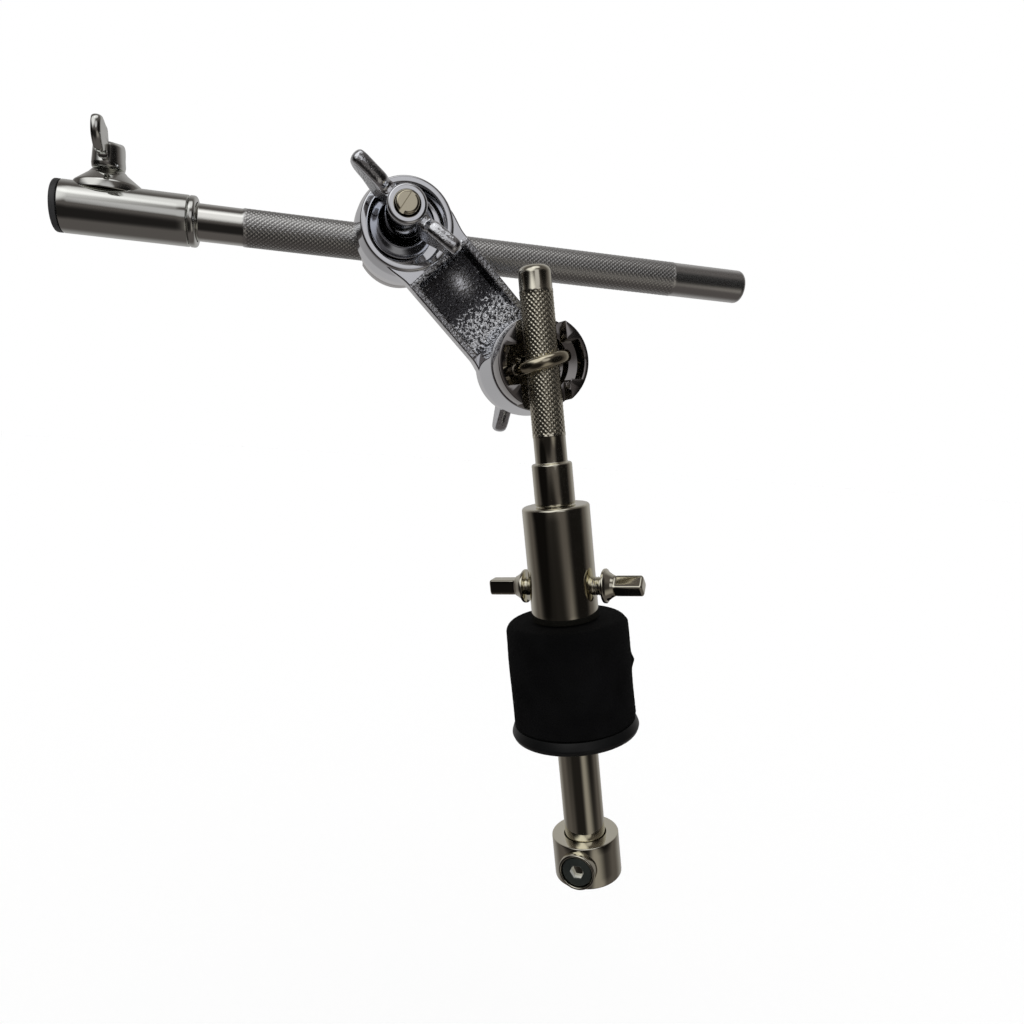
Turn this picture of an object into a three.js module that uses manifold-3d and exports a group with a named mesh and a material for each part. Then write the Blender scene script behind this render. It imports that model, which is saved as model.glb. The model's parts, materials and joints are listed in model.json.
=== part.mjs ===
// A boom arm end for a cymbal stand, with a double-ended clamp and a hanging holder.
// Millimetres. +X runs out along the boom, +Y away from the player's side, +Z up.
// The origin is the middle of the plugged left end of the boom tube.
import * as THREE from 'three';
import { mergeVertices } from 'three/addons/utils/BufferGeometryUtils.js';
import Module from 'manifold-3d';

const wasm = await Module();
wasm.setup();

// ---- driving dimensions ----
const GAP = 0.3;                // clearance between touching pieces
const RND = 40;                 // sides of a large round
const SMALL = 24;               // sides of a small round

// boom tube and rod
const TUBE_R = 8.3;
const TUBE_BORE = 7.4;
const TUBE_START = 2.3;
const TUBE_END = 40.7;
const LIP_END = 43.2;
const ROD_NECK_R = 6.1;
const ROD_KNURL_R = 6.35;
const ROD_TIP_R = 6.2;
const ROD_START = 14;
const KNURL_START = 58.2;
const KNURL_END = 214.8;
const ROD_END = 244.6;
const BOSS_X = 15.5;            // wing bolt of the tube
const BOSS_TOP = 12.8;
const BOLT_R = 3;

// double-ended clamp
const CLAMP_X = 110;            // where the clamp holds the boom
const ARM_L = 58.7;             // between the two clamp axes
const ARM_DOWN = 44.3;          // degrees below the boom
const ARM_W = 25;               // across the arm on the player's side
const ARM_W_BACK = 22.4;        // across it behind: the sides are drafted
const ARM_T = 12.4;
const RAIL = 2.4;
const WEB_SINK = 4.2;
const POCKET_START = 16.3;
const BARREL_L = 34.65;
const BARREL_R_FACE = 14.4;
const BARREL_R_CAP = 14.7;
const BARREL_R_OPEN = 14.9;
const BARREL_R_MID = 16.3;
const BARREL_R_RING = 14.6;
const BORE_PLAY = 1.4;          // play of the eye bolt's stem in the casting's bore
const RECESS_R = 12.3;
const RECESS_D = 8;
const SADDLE_CAP = 8.2;         // the saddle's wide cap stands this far out of the barrel
const SADDLE_R = 13.8;
const SADDLE_T = 16;
const SOCKET_R = 14.1;
const SOCKET_D = 16.3;
const GROOVE_D = 7.5;
const GROOVE_ROD = 16;
const GROOVE_EYE = 12.2;
const GROOVE_END_R = 13.1;      // the eye's groove stops short of the rim at this radius
const POCKET_R = 10.2;
const POCKET_D = 13.8;
const STEM_R = 3.5;
const STEM_PLAY = 0.8;          // play of the stem in the saddle
const STEM_OUT = 1.8;           // the stem ends this far past the nut
const STUD_LEAN_Z = 2.23;       // degrees that the front eye bolt leans left in its bore
const STUD_LEAN_X = -0.95;      // degrees that it leans up
const SLOT_W = 1.5;
const SLOT_TURN = 60;
const EYE_IN = 7;
const EYE_OUT = 9.6;
const EYE_T = 4;
const EYE_SKEW = 11;            // degrees that the eye sits skewed in its groove
const WASHER_R = 8.9;
const WASHER_T = 1.3;
const NUT_LIFT = 0.25;          // extra room under the nuts for the lean
const NUT_H = 25.2;
const NUT_TOP_R = 5.7;
const NUT_BASE_R = 10.4;
const WING_S_FRONT = 20;
const WING_S_REAR = 22;
const WING_T = 4.3;
const WING_DIP = 3.5;           // degrees that the rear wings stand off plumb
const WING_TURN = 37;           // degrees that the front wings point down from the boom

// hanging holder, measured down its own axis from the clamp
const LEAN = 9.64;              // degrees that it leans out from plumb
const HANG_R = 5.25;
const HANG_SMOOTH_R = 5.1;
const HANG_TOP = -29.2;
const HANG_KNURL_A = -21.6;
const HANG_KNURL_B = 22.8;
const STEP_TOP = 31.4;
const STEP_R = 6.4;
const SLEEVE_TOP = 44.7;
const SLEEVE_END = 81.6;
const SLEEVE_R = 10.8;
const SCREW_AT = 71.1;
const SCREW_TURN = 36;          // degrees that the key screws point toward the player
const SCREW_OUT_RIGHT = 13.8;   // flange of the right key screw from the axis
const SCREW_OUT_LEFT = 12.2;
const HEAD_ACROSS = 5;          // square for a drum key
const HEAD_L = 10.2;
const ROLL_RIGHT = 40;          // degrees that the heads are turned about their own axes
const ROLL_LEFT = 0;
const LOW_R = 6.7;
const LOW_START = 59;
const CORE_R = 8.7;             // bore of the felt over its sleeve
const PAD_R = 19.7;
const PAD_END = 115.4;
const LIP_R = 20.9;
const LIP_AT = 118.3;
const CUP_END = 119.9;
const FOOT_TOP = 155.8;
const FOOT_END = 170;
const FOOT_R = 11.1;
const SET_AT = 163;
const SET_TURN = 34;            // degrees that the set screw points left of the player
const SET_BOSS_R = 6.1;
const SET_R = 4.9;
const HEX_R = 2.3;              // to the corners of the hexagon socket

const rad = (d) => d * Math.PI / 180;

// ---- finishes ----
const finish = (colour, roughness, metalness) =>
  new THREE.MeshStandardMaterial({ color: colour, roughness, metalness });
const CHROME = finish(0xc4c8cc, 0.16, 1);
const NICKEL = finish(0xc2bba8, 0.2, 1);
const STEEL = finish(0x9a9a96, 0.42, 1);
const FELT = finish(0x0b0b0c, 0.95, 0);
const RUBBER = finish(0x151517, 0.6, 0);
const NYLON = finish(0x1b1b1d, 0.5, 0);
const OXIDE = finish(0x1c201f, 0.4, 0.8);

// ---- shape helpers ----
function volumeOf(geo) {
  const p = geo.attributes.position;
  const idx = geo.index;
  let v = 0;
  const a = new THREE.Vector3();
  const b = new THREE.Vector3();
  const c = new THREE.Vector3();
  for (let i = 0; i < idx.count; i += 3) {
    a.fromBufferAttribute(p, idx.getX(i));
    b.fromBufferAttribute(p, idx.getX(i + 1));
    c.fromBufferAttribute(p, idx.getX(i + 2));
    v += a.dot(b.cross(c)) / 6;
  }
  return v;
}

// A turned piece about Y from [radius, height] pairs.
function turned(profile, sides = RND) {
  const pts = profile.map(([r, h]) => new THREE.Vector2(r, h));
  let geo = new THREE.LatheGeometry(pts, sides);
  if (volumeOf(geo) < 0) geo = new THREE.LatheGeometry(pts.reverse(), sides);
  return geo;
}

// A turned ring: the profile is closed for it.
const ring = (profile, sides = RND) => turned([...profile, profile[0]], sides);

const alongX = (geo) => geo.rotateZ(-Math.PI / 2);
const alongZ = (geo) => geo.rotateX(Math.PI / 2);

function solid(geo) {
  const g = (geo.index ? geo : mergeVertices(geo)).clone();
  g.deleteAttribute('normal');
  g.deleteAttribute('uv');
  const m = mergeVertices(g, 1e-4);
  return new wasm.Manifold(new wasm.Mesh({
    numProp: 3,
    vertProperties: new Float32Array(m.attributes.position.array),
    triVerts: new Uint32Array(m.index.array),
  }));
}

function shell(man) {
  const mesh = man.getMesh();
  const geo = new THREE.BufferGeometry();
  geo.setAttribute('position', new THREE.BufferAttribute(new Float32Array(mesh.vertProperties), 3));
  geo.setIndex(new THREE.BufferAttribute(new Uint32Array(mesh.triVerts), 1));
  geo.computeVertexNormals();
  return geo;
}

function cut(base, tools) {
  let m = solid(base);
  for (const t of tools) m = m.subtract(solid(t));
  return shell(m);
}

const common = (a, b) => shell(solid(a).intersect(solid(b)));

function joined(parts) {
  let m = solid(parts[0]);
  for (const t of parts.slice(1)) m = m.add(solid(t));
  return shell(m);
}

const bar = (w, d, h, x = 0, y = 0, z = 0) => new THREE.BoxGeometry(w, d, h).translate(x, y, z);
const pin = (r, len, sides = SMALL) => new THREE.CylinderGeometry(r, r, len, sides);

// An outline drawn in X and Z, made dy thick and centred on Y.
function plate(outline, dy) {
  const s = new THREE.Shape(outline.map(([x, z]) => new THREE.Vector2(x, z)));
  const geo = new THREE.ExtrudeGeometry(s, { depth: dy, bevelEnabled: false, curveSegments: 8 });
  return geo.rotateX(Math.PI / 2).translate(0, dy / 2, 0);
}

function piece(name, geo, mat) {
  const m = new THREE.Mesh(geo, mat);
  m.name = name;
  return m;
}

// ---- boom tube ----
function boomTube() {
  const body = alongX(ring([
    [TUBE_BORE, TUBE_START], [TUBE_R - 0.3, TUBE_START], [TUBE_R, TUBE_START + 0.3],
    [TUBE_R, TUBE_END - 0.5], [TUBE_R - 0.5, TUBE_END], [TUBE_BORE, TUBE_END],
  ]));
  const boss = alongZ(turned([
    [0, 5.2], [10.8, 5.2], [10.5, 8.3], [8.4, 9.6],
    [6.4, 11.3], [5.5, 12.2], [4.9, BOSS_TOP], [0, BOSS_TOP],
  ], 40)).scale(1, 0.72, 1).translate(BOSS_X, 0, 0);
  const hollow = alongX(pin(TUBE_BORE, 60, RND)).translate(25, 0, 0);
  const bolt = alongZ(pin(BOLT_R + GAP, 20)).translate(BOSS_X, 0, 12);
  let m = solid(body).add(solid(boss).subtract(solid(hollow)));
  m = m.subtract(solid(bolt));
  return piece('boom_tube', shell(m), CHROME);
}

function tubeEndPlug() {
  return piece('tube_end_plug', alongX(turned([
    [0, 0], [TUBE_R - 0.6, 0], [TUBE_R, 0.6], [TUBE_R, TUBE_START - GAP],
    [TUBE_BORE - GAP, TUBE_START - GAP], [TUBE_BORE - GAP, 6.5], [TUBE_BORE - 0.9, 7.1], [0, 7.1],
  ])), NYLON);
}

function tubeBushing() {
  const bore = ROD_KNURL_R + 0.05;
  return piece('tube_bushing', alongX(ring([
    [bore, 24], [TUBE_BORE - GAP, 24], [TUBE_BORE - GAP, TUBE_END + GAP], [TUBE_R, TUBE_END + GAP],
    [TUBE_R, LIP_END - 1.1], [TUBE_R - 0.35, LIP_END - 0.35], [TUBE_R - 1.1, LIP_END], [bore, LIP_END],
  ])), CHROME);
}

// Two wings and a hub from one outline; it is thin across Y and its hub stands on z = 0.
function wings(span, thick, low, rise, top) {
  const side = [
    [3, low + 2], [7, low], [span * 0.55, low + 1.2], [span - 2.2, top - 8.5], [span, top - 6],
    [span + 0.3, top - 2.6], [span - 0.7, top - 0.5], [span - 2.6, top],
    [span * 0.5, top - 1.4], [span * 0.42, top - 2.4], [6.2, rise], [3, rise],
  ];
  const other = side.map(([x, z]) => [-x, z]).reverse();
  return plate([...side, ...other], thick);
}

function tubeWingBolt() {
  const hub = alongZ(turned([
    [0, 0], [4.6, 0], [5.1, 0.6], [4.7, 7], [3.8, 8], [0, 8],
  ], SMALL));
  const shank = alongZ(turned([
    [0, -6.3], [2.5, -6.3], [BOLT_R, -5.8], [BOLT_R, 1], [0, 1],
  ], SMALL));
  const ears = wings(16.5, 3, 1.2, 6.5, 12.5);
  const m = piece('tube_wing_bolt', joined([hub, shank, ears]), CHROME);
  m.position.set(BOSS_X, 0, BOSS_TOP + GAP);
  m.rotation.z = Math.PI / 2;
  return m;
}

function boomRod() {
  return piece('boom_rod', alongX(turned([
    [0, ROD_START], [5.4, ROD_START], [ROD_NECK_R, ROD_START + 0.7],
    [ROD_NECK_R, KNURL_START], [ROD_KNURL_R, KNURL_START + 0.4], [ROD_KNURL_R, KNURL_END - 0.4],
    [ROD_TIP_R, KNURL_END], [ROD_TIP_R, ROD_END - 1.9], [ROD_TIP_R - 0.25, ROD_END - 0.9],
    [ROD_TIP_R - 0.9, ROD_END - 0.25], [ROD_TIP_R - 1.9, ROD_END], [0, ROD_END],
  ])), STEEL);
}

// ---- clamp; every piece below is drawn with its groove face at y = 0 and its nut end at +Y ----
function saddle(name) {
  const block = turned([
    [0, 0], [BARREL_R_FACE - 0.4, 0], [BARREL_R_FACE, 0.4], [BARREL_R_CAP, SADDLE_CAP],
    [SADDLE_R, SADDLE_CAP], [SADDLE_R, SADDLE_T - 0.5], [SADDLE_R - 0.5, SADDLE_T], [0, SADDLE_T],
  ]);
  const tools = [
    bar(GROOVE_ROD, GROOVE_D * 2, 40),
    common(bar(40, GROOVE_D * 2, GROOVE_EYE), pin(GROOVE_END_R, GROOVE_D * 3, RND)),
    pin(POCKET_R, POCKET_D * 2),
    pin(STEM_R + STEM_PLAY, 60),
  ];
  return piece(name, cut(block, tools), CHROME);
}

// rodDepth is how far the held rod's axis lies below the groove face, rodR its radius.
function eyeBolt(name, rodDepth, rodR, length) {
  const centre = rodDepth + (EYE_IN - rodR - GAP);
  const k = 0.7;
  const eye = alongZ(ring([
    [EYE_IN + k, -EYE_T / 2], [EYE_OUT - k, -EYE_T / 2], [EYE_OUT, -EYE_T / 2 + k],
    [EYE_OUT, EYE_T / 2 - k], [EYE_OUT - k, EYE_T / 2], [EYE_IN + k, EYE_T / 2],
    [EYE_IN, EYE_T / 2 - k], [EYE_IN, -EYE_T / 2 + k],
  ], 36)).translate(0, centre, 0);
  const from = centre + EYE_IN + 0.8;
  const stem = turned([
    [0, from], [STEM_R, from], [STEM_R, length - 0.7], [STEM_R - 0.7, length], [0, length],
  ], SMALL);
  const slot = bar(SLOT_W, 2.4, 12, 0, length, 0).rotateY(rad(SLOT_TURN));
  let m = solid(eye).add(solid(stem));
  m = m.subtract(solid(slot));
  return piece(name, shell(m), NICKEL);
}

function barrel() {
  return turned([
    [0, SADDLE_CAP + GAP], [BARREL_R_OPEN, SADDLE_CAP + GAP],
    [BARREL_R_MID - 0.5, BARREL_L * 0.5], [BARREL_R_MID - 0.1, BARREL_L * 0.6],
    [BARREL_R_MID, BARREL_L * 0.7], [BARREL_R_MID - 0.5, BARREL_L * 0.84],
    [BARREL_R_RING, BARREL_L - 0.5], [BARREL_R_RING - 0.5, BARREL_L], [0, BARREL_L],
  ]);
}

function barrelTools() {
  return [
    pin(SOCKET_R, SOCKET_D * 2, RND),
    pin(STEM_R + BORE_PLAY, 200),
    turned([
      [0, BARREL_L - RECESS_D], [RECESS_R - 0.6, BARREL_L - RECESS_D],
      [RECESS_R, BARREL_L - RECESS_D + 0.6], [RECESS_R, BARREL_L - 0.5],
      [RECESS_R + 0.5, BARREL_L + 0.01], [RECESS_R + 0.5, BARREL_L + 4], [0, BARREL_L + 4],
    ]),
  ];
}

// Drawn with the upper axis at x = 0, the lower at x = ARM_L and the middle plane at y = 0.
function clampBody() {
  const upper = (g) => g.rotateX(Math.PI).translate(0, BARREL_L - RING_OUT, 0);
  const lower = (g) => g.translate(ARM_L, RING_OUT - BARREL_L, 0);
  const beam = plate([
    [ARM_T / 2, -ARM_W / 2], [ARM_T / 2, ARM_W / 2],
    [-ARM_T / 2, ARM_W_BACK / 2], [-ARM_T / 2, -ARM_W_BACK / 2],
  ], ARM_L).rotateZ(-Math.PI / 2).translate(ARM_L / 2, 0, 0);
  const run = ARM_L - POCKET_START;
  const front = sinkShape(run, ARM_W - 2 * RAIL).translate(POCKET_START, -ARM_T / 2, 0);
  const back = sinkShape(run, ARM_W_BACK - 2 * RAIL).rotateZ(Math.PI)
    .translate(ARM_L - POCKET_START, ARM_T / 2, 0);
  let m = solid(beam).subtract(solid(front)).subtract(solid(back));
  m = m.add(solid(upper(barrel()))).add(solid(lower(barrel())));
  for (const t of barrelTools()) m = m.subtract(solid(upper(t)));
  for (const t of barrelTools()) m = m.subtract(solid(lower(t)));
  return piece('clamp_body', shell(m), CHROME);
}

// The sunk bed of the arm: it starts with a sloped wall and rises again at the far barrel.
function sinkShape(run, width) {
  const s = new THREE.Shape([
    [0, -2], [0.9, WEB_SINK * 0.6], [3, WEB_SINK], [run - 21, WEB_SINK], [run - 17.5, WEB_SINK * 0.8],
    [run - 13, WEB_SINK * 0.2], [run - 10, -0.4], [run - 10, -2],
  ].map(([x, y]) => new THREE.Vector2(x, y)));
  const geo = new THREE.ExtrudeGeometry(s, { depth: width, bevelEnabled: false });
  return geo.translate(0, 0, -width / 2);
}

function washer(name) {
  const bore = STEM_R + 0.4;
  return piece(name, ring([
    [bore, 0], [WASHER_R - 0.3, 0], [WASHER_R, 0.3],
    [WASHER_R, WASHER_T - 0.3], [WASHER_R - 0.3, WASHER_T], [bore, WASHER_T],
  ], 32), NICKEL);
}

// Its base is at y = 0 and its top at y = NUT_H.
function wingNut(name, turn, span) {
  const hub = turned([
    [0, 0], [NUT_BASE_R - 0.4, 0], [NUT_BASE_R, 0.4], [NUT_BASE_R, 1.6],
    [9.1, 2.9], [7.7, 4.6], [6.9, 6.8],
    [6.4, 9.5], [NUT_TOP_R + 0.2, NUT_H - 0.9], [NUT_TOP_R - 0.5, NUT_H], [0, NUT_H],
  ], 32);
  const ears = wings(span, WING_T, 10.5, NUT_H - 1.6, NUT_H + 2.4)
    .rotateX(-Math.PI / 2).rotateY(turn);
  let m = solid(hub).add(solid(ears));
  m = m.subtract(solid(pin(STEM_R + GAP, 100)));
  return piece(name, shell(m), CHROME);
}

// ---- hanging holder; drawn about Z with the clamp at z = 0 and every length going down ----
const down = (profile, sides = RND) => alongZ(turned(profile.map(([r, t]) => [r, -t]), sides));
const downRing = (profile, sides = RND) => down([...profile, profile[0]], sides);

function holderRod() {
  return piece('holder_rod', down([
    [0, HANG_TOP], [2, HANG_TOP + 0.15], [3.4, HANG_TOP + 0.6], [4.4, HANG_TOP + 1.5],
    [4.95, HANG_TOP + 2.6], [HANG_SMOOTH_R, HANG_TOP + 3.8], [HANG_SMOOTH_R, HANG_KNURL_A],
    [HANG_R, HANG_KNURL_A + 0.3], [HANG_R, HANG_KNURL_B - 0.3], [HANG_SMOOTH_R, HANG_KNURL_B],
    [HANG_SMOOTH_R, STEP_TOP - 0.6], [STEP_R - 0.7, STEP_TOP - 0.2], [STEP_R - 0.15, STEP_TOP + 0.3],
    [STEP_R, STEP_TOP + 1], [STEP_R, SLEEVE_TOP - GAP], [HANG_SMOOTH_R, SLEEVE_TOP - GAP],
    [HANG_SMOOTH_R, 57.5], [4.6, 58], [0, 58],
  ], 32), NICKEL);
}

const screwAxis = (sign) => {
  const g = new THREE.Group();
  g.position.set(0, 0, -SCREW_AT);
  g.rotation.z = rad(-SCREW_TURN) + (sign < 0 ? Math.PI : 0);
  return g;
};

function keySleeve() {
  const b = HANG_SMOOTH_R + GAP;
  const wall = downRing([
    [b, SLEEVE_TOP], [SLEEVE_R - 0.9, SLEEVE_TOP], [SLEEVE_R - 0.25, SLEEVE_TOP + 0.3],
    [SLEEVE_R, SLEEVE_TOP + 1], [SLEEVE_R, SLEEVE_END - 0.3], [SLEEVE_R - 0.3, SLEEVE_END],
    [LOW_R + GAP, SLEEVE_END], [LOW_R + GAP, 58.3], [b, 58.3],
  ]);
  const hole = alongX(pin(3.3, 40)).rotateZ(rad(-SCREW_TURN)).translate(0, 0, -SCREW_AT);
  return piece('key_sleeve', cut(wall, [hole]), NICKEL);
}

// The flange stands out from the axis at the length "out"; the two screws are turned in unequally.
function keyScrew(name, sign, out, roll) {
  const turnedPart = alongX(turned([
    [0, LOW_R + GAP], [2.5, LOW_R + GAP], [3, 7.6], [3, out], [5.2, out + 0.2], [5.5, out + 0.7],
    [5, out + 1.3], [3.9, out + 2.6], [3.5, out + 3.8], [0, out + 3.8],
  ], SMALL));
  const corner = 0.7;
  const a = HEAD_ACROSS / 2;
  const s = new THREE.Shape([
    [a - corner, -a], [a, -a + corner], [a, a - corner], [a - corner, a],
    [-a + corner, a], [-a, a - corner], [-a, -a + corner], [-a + corner, -a],
  ].map(([x, y]) => new THREE.Vector2(x, y)));
  const head = new THREE.ExtrudeGeometry(s, {
    depth: HEAD_L - 1.6,
    bevelEnabled: true,
    bevelThickness: 0.8,
    bevelSize: 0.7,
    bevelOffset: -0.7,
    bevelSegments: 2,
  }).rotateY(Math.PI / 2).rotateX(rad(roll)).translate(out + 2.6, 0, 0);
  const g = screwAxis(sign);
  g.add(piece(name, joined([turnedPart, head]), NICKEL));
  return g;
}

function lowerRod() {
  return piece('lower_rod', down([
    [0, LOW_START], [LOW_R - 0.6, LOW_START], [LOW_R, LOW_START + 0.6],
    [LOW_R, FOOT_END - 1.2], [LOW_R - 0.6, FOOT_END - 0.6], [0, FOOT_END - 0.6],
  ], 32), NICKEL);
}

function coreSleeve() {
  return piece('core_sleeve', downRing([
    [LOW_R + GAP, SLEEVE_END + GAP], [CORE_R - GAP, SLEEVE_END + GAP],
    [CORE_R - GAP, CUP_END], [LOW_R + GAP, CUP_END],
  ], 32), NYLON);
}

function feltRoll() {
  const top = SLEEVE_END + GAP;
  return piece('felt_roll', downRing([
    [CORE_R, top], [PAD_R - 2.8, top], [PAD_R - 1, top + 0.8], [PAD_R - 0.2, top + 2.5],
    [PAD_R, top + 5], [PAD_R + 0.1, PAD_END], [CORE_R, PAD_END],
  ], 44), FELT);
}

function lipCup() {
  const a = PAD_END + GAP;
  return piece('lip_cup', downRing([
    [CORE_R, a], [PAD_R + 0.1, a], [PAD_R + 0.5, a + 0.8], [LIP_R - 0.2, LIP_AT - 1.2], [LIP_R, LIP_AT],
    [LIP_R - 0.4, CUP_END - 0.6], [LIP_R - 1.3, CUP_END], [LIP_R - 2.3, CUP_END],
    [LIP_R - 2.9, CUP_END - 1], [11, CUP_END - 1], [10.4, CUP_END], [CORE_R, CUP_END],
  ], 44), RUBBER);
}

function footCollar() {
  const body = downRing([
    [LOW_R + GAP, FOOT_TOP], [FOOT_R - 0.5, FOOT_TOP], [FOOT_R, FOOT_TOP + 0.5],
    [FOOT_R, FOOT_END - 0.5], [FOOT_R - 0.5, FOOT_END], [LOW_R + GAP, FOOT_END],
  ]);
  const boss = alongX(turned([
    [0, 8.5], [SET_BOSS_R, 8.5], [SET_BOSS_R, 12.5], [SET_BOSS_R - 0.5, 13], [0, 13],
  ], 40)).rotateZ(rad(-90 - SET_TURN)).translate(0, 0, -SET_AT);
  const bore = alongZ(pin(LOW_R + GAP, 40, RND)).translate(0, 0, -SET_AT);
  const hole = alongX(pin(SET_R + GAP, 14)).translate(11, 0, 0)
    .rotateZ(rad(-90 - SET_TURN)).translate(0, 0, -SET_AT);
  let m = solid(body).add(solid(boss)).subtract(solid(bore));
  m = m.subtract(solid(hole));
  return piece('foot_collar', shell(m), NICKEL);
}

function setScrew() {
  const body = alongX(turned([
    [0, LOW_R + GAP], [SET_R - 0.8, LOW_R + GAP], [SET_R, 7.9],
    [SET_R, 12.2], [SET_R - 0.5, 12.7], [0, 12.7],
  ], SMALL));
  const hex = alongX(new THREE.CylinderGeometry(HEX_R, HEX_R, 8, 6)).translate(13, 0, 0);
  const g = new THREE.Group();
  g.position.set(0, 0, -SET_AT);
  g.rotation.z = rad(-90 - SET_TURN);
  g.add(piece('set_screw', cut(body, [hex]), OXIDE));
  return g;
}

// ---- where the clamp's pieces lie across Y ----
const BACK_SEAT = -(ROD_KNURL_R + GAP);           // groove floor under the boom
const FACE_BACK = BACK_SEAT + GROOVE_D;           // groove face of the upper barrel
const RING_FRONT = FACE_BACK - BARREL_L;          // ring of the upper barrel
const MID = RING_FRONT + 7.2;                     // middle plane of the arm
const RING_OUT = 7.2;                             // ring planes stand this far off the middle
const FACE_FRONT = 2 * MID - FACE_BACK;           // groove face of the lower barrel
const HANG_Y = FACE_FRONT + GROOVE_D - GAP - HANG_R;
const WASHER_SEAT = BARREL_L - RECESS_D + GAP;
const NUT_SEAT = WASHER_SEAT + WASHER_T + GAP + NUT_LIFT;
const EYE_LEN = NUT_SEAT + NUT_H + STEM_OUT;

function build() {
  const all = new THREE.Group();
  all.name = 'cymbal_boom_end';
  all.add(boomTube(), tubeEndPlug(), tubeBushing(), tubeWingBolt(), boomRod());

  // upper end: groove face toward +Y, nut toward the player
  const up = new THREE.Group();
  up.position.set(CLAMP_X, FACE_BACK, 0);
  up.rotation.x = Math.PI;
  const upSaddle = saddle('upper_saddle');
  upSaddle.rotation.y = Math.PI / 2;
  const upEye = eyeBolt('upper_eye_bolt', FACE_BACK, ROD_KNURL_R, EYE_LEN);
  upEye.rotation.y = Math.PI / 2;
  upEye.position.y = -FACE_BACK;
  const nutUp = wingNut('upper_wing_nut', rad(-WING_TURN), WING_S_FRONT);
  nutUp.position.y = NUT_SEAT - FACE_BACK;
  // the eye bolt and its nut lean about the boom's axis; the washer lies flat and follows the stem
  const stud = new THREE.Group();
  stud.position.y = FACE_BACK;
  stud.rotation.set(rad(STUD_LEAN_X), 0, rad(STUD_LEAN_Z));
  stud.add(upEye, nutUp);
  const washUp = washer('upper_washer');
  const reach = WASHER_SEAT - FACE_BACK;
  washUp.position.set(-reach * Math.tan(rad(STUD_LEAN_Z)), WASHER_SEAT, reach * Math.tan(rad(STUD_LEAN_X)));
  up.add(upSaddle, stud, washUp);
  all.add(up);

  const arm = new THREE.Group();
  arm.position.set(CLAMP_X, MID, 0);
  arm.rotation.y = rad(ARM_DOWN);
  arm.add(clampBody());
  all.add(arm);

  // lower end: groove face toward the player, nut behind
  const cx = CLAMP_X + ARM_L * Math.cos(rad(ARM_DOWN));
  const cz = -ARM_L * Math.sin(rad(ARM_DOWN));
  const low = new THREE.Group();
  low.position.set(cx, FACE_FRONT, cz);
  low.rotation.y = -rad(LEAN);
  const lowSaddle = saddle('lower_saddle');
  const lowEye = eyeBolt('lower_eye_bolt', HANG_Y - FACE_FRONT, HANG_R, EYE_LEN);
  lowEye.rotation.y = -rad(EYE_SKEW);
  const washLow = washer('lower_washer');
  washLow.position.y = WASHER_SEAT;
  const nutLow = wingNut('lower_wing_nut', rad(90 + LEAN + WING_DIP), WING_S_REAR);
  nutLow.position.y = NUT_SEAT;
  low.add(lowSaddle, lowEye, washLow, nutLow);
  all.add(low);

  const hang = new THREE.Group();
  hang.position.set(cx, HANG_Y, cz);
  hang.rotation.y = -rad(LEAN);
  hang.add(holderRod(), keySleeve());
  hang.add(keyScrew('key_screw_right', 1, SCREW_OUT_RIGHT, ROLL_RIGHT));
  hang.add(keyScrew('key_screw_left', -1, SCREW_OUT_LEFT, ROLL_LEFT));
  hang.add(lowerRod(), coreSleeve(), feltRoll(), lipCup(), footCollar(), setScrew());
  all.add(hang);
  return all;
}

export default build();
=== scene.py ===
# %% [markdown]
# # A boom arm end with a double clamp and a hanging holder
# The part's own CAD model is the fixed frame: it says where every piece is and what turns or slides.
# This lesson builds the finished surfaces around it, piece by piece, and rides each on its CAD body.
# Almost everything on the object is turned, so most pieces are a profile carried round an axis.

# %% The frame
import json
import math
import bpy
import numpy as np
from mathutils import Matrix


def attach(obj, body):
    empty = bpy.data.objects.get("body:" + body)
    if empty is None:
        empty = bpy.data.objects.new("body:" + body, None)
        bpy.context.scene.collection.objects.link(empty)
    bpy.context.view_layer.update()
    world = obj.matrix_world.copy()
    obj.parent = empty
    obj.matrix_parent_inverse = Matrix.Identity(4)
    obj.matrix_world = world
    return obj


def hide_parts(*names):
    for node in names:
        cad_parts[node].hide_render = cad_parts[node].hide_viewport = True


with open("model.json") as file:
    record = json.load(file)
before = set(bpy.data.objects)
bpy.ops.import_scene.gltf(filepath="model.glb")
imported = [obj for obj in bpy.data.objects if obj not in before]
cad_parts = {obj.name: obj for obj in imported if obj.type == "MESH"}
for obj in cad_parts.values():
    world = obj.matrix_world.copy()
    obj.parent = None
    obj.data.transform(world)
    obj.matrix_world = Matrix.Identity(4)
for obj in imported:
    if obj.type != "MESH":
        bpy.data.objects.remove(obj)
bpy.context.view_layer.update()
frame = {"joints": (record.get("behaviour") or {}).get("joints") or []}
MM = 0.001
GAP = 0.3                                        # play between pieces that touch, mm
rad = math.radians

# %% [markdown]
# ## Where things are
# The joints of the frame give the axes: the boom runs along X, the two clamp axes along Y, and the
# holder hangs along its own leaning axis. Reading them from the joints means that a piece drawn here
# can't drift away from the CAD part that it dresses. All lengths below are millimetres.

# %% Axes read from the joints
joint = {j["name"]: j for j in frame["joints"]}


def mm(point):
    """A point of the frame, in millimetres."""
    return np.array(point, dtype=float) * 1000.0


def unit(v):
    """The vector made one long."""
    v = np.asarray(v, dtype=float)
    return v / np.linalg.norm(v)


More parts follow.
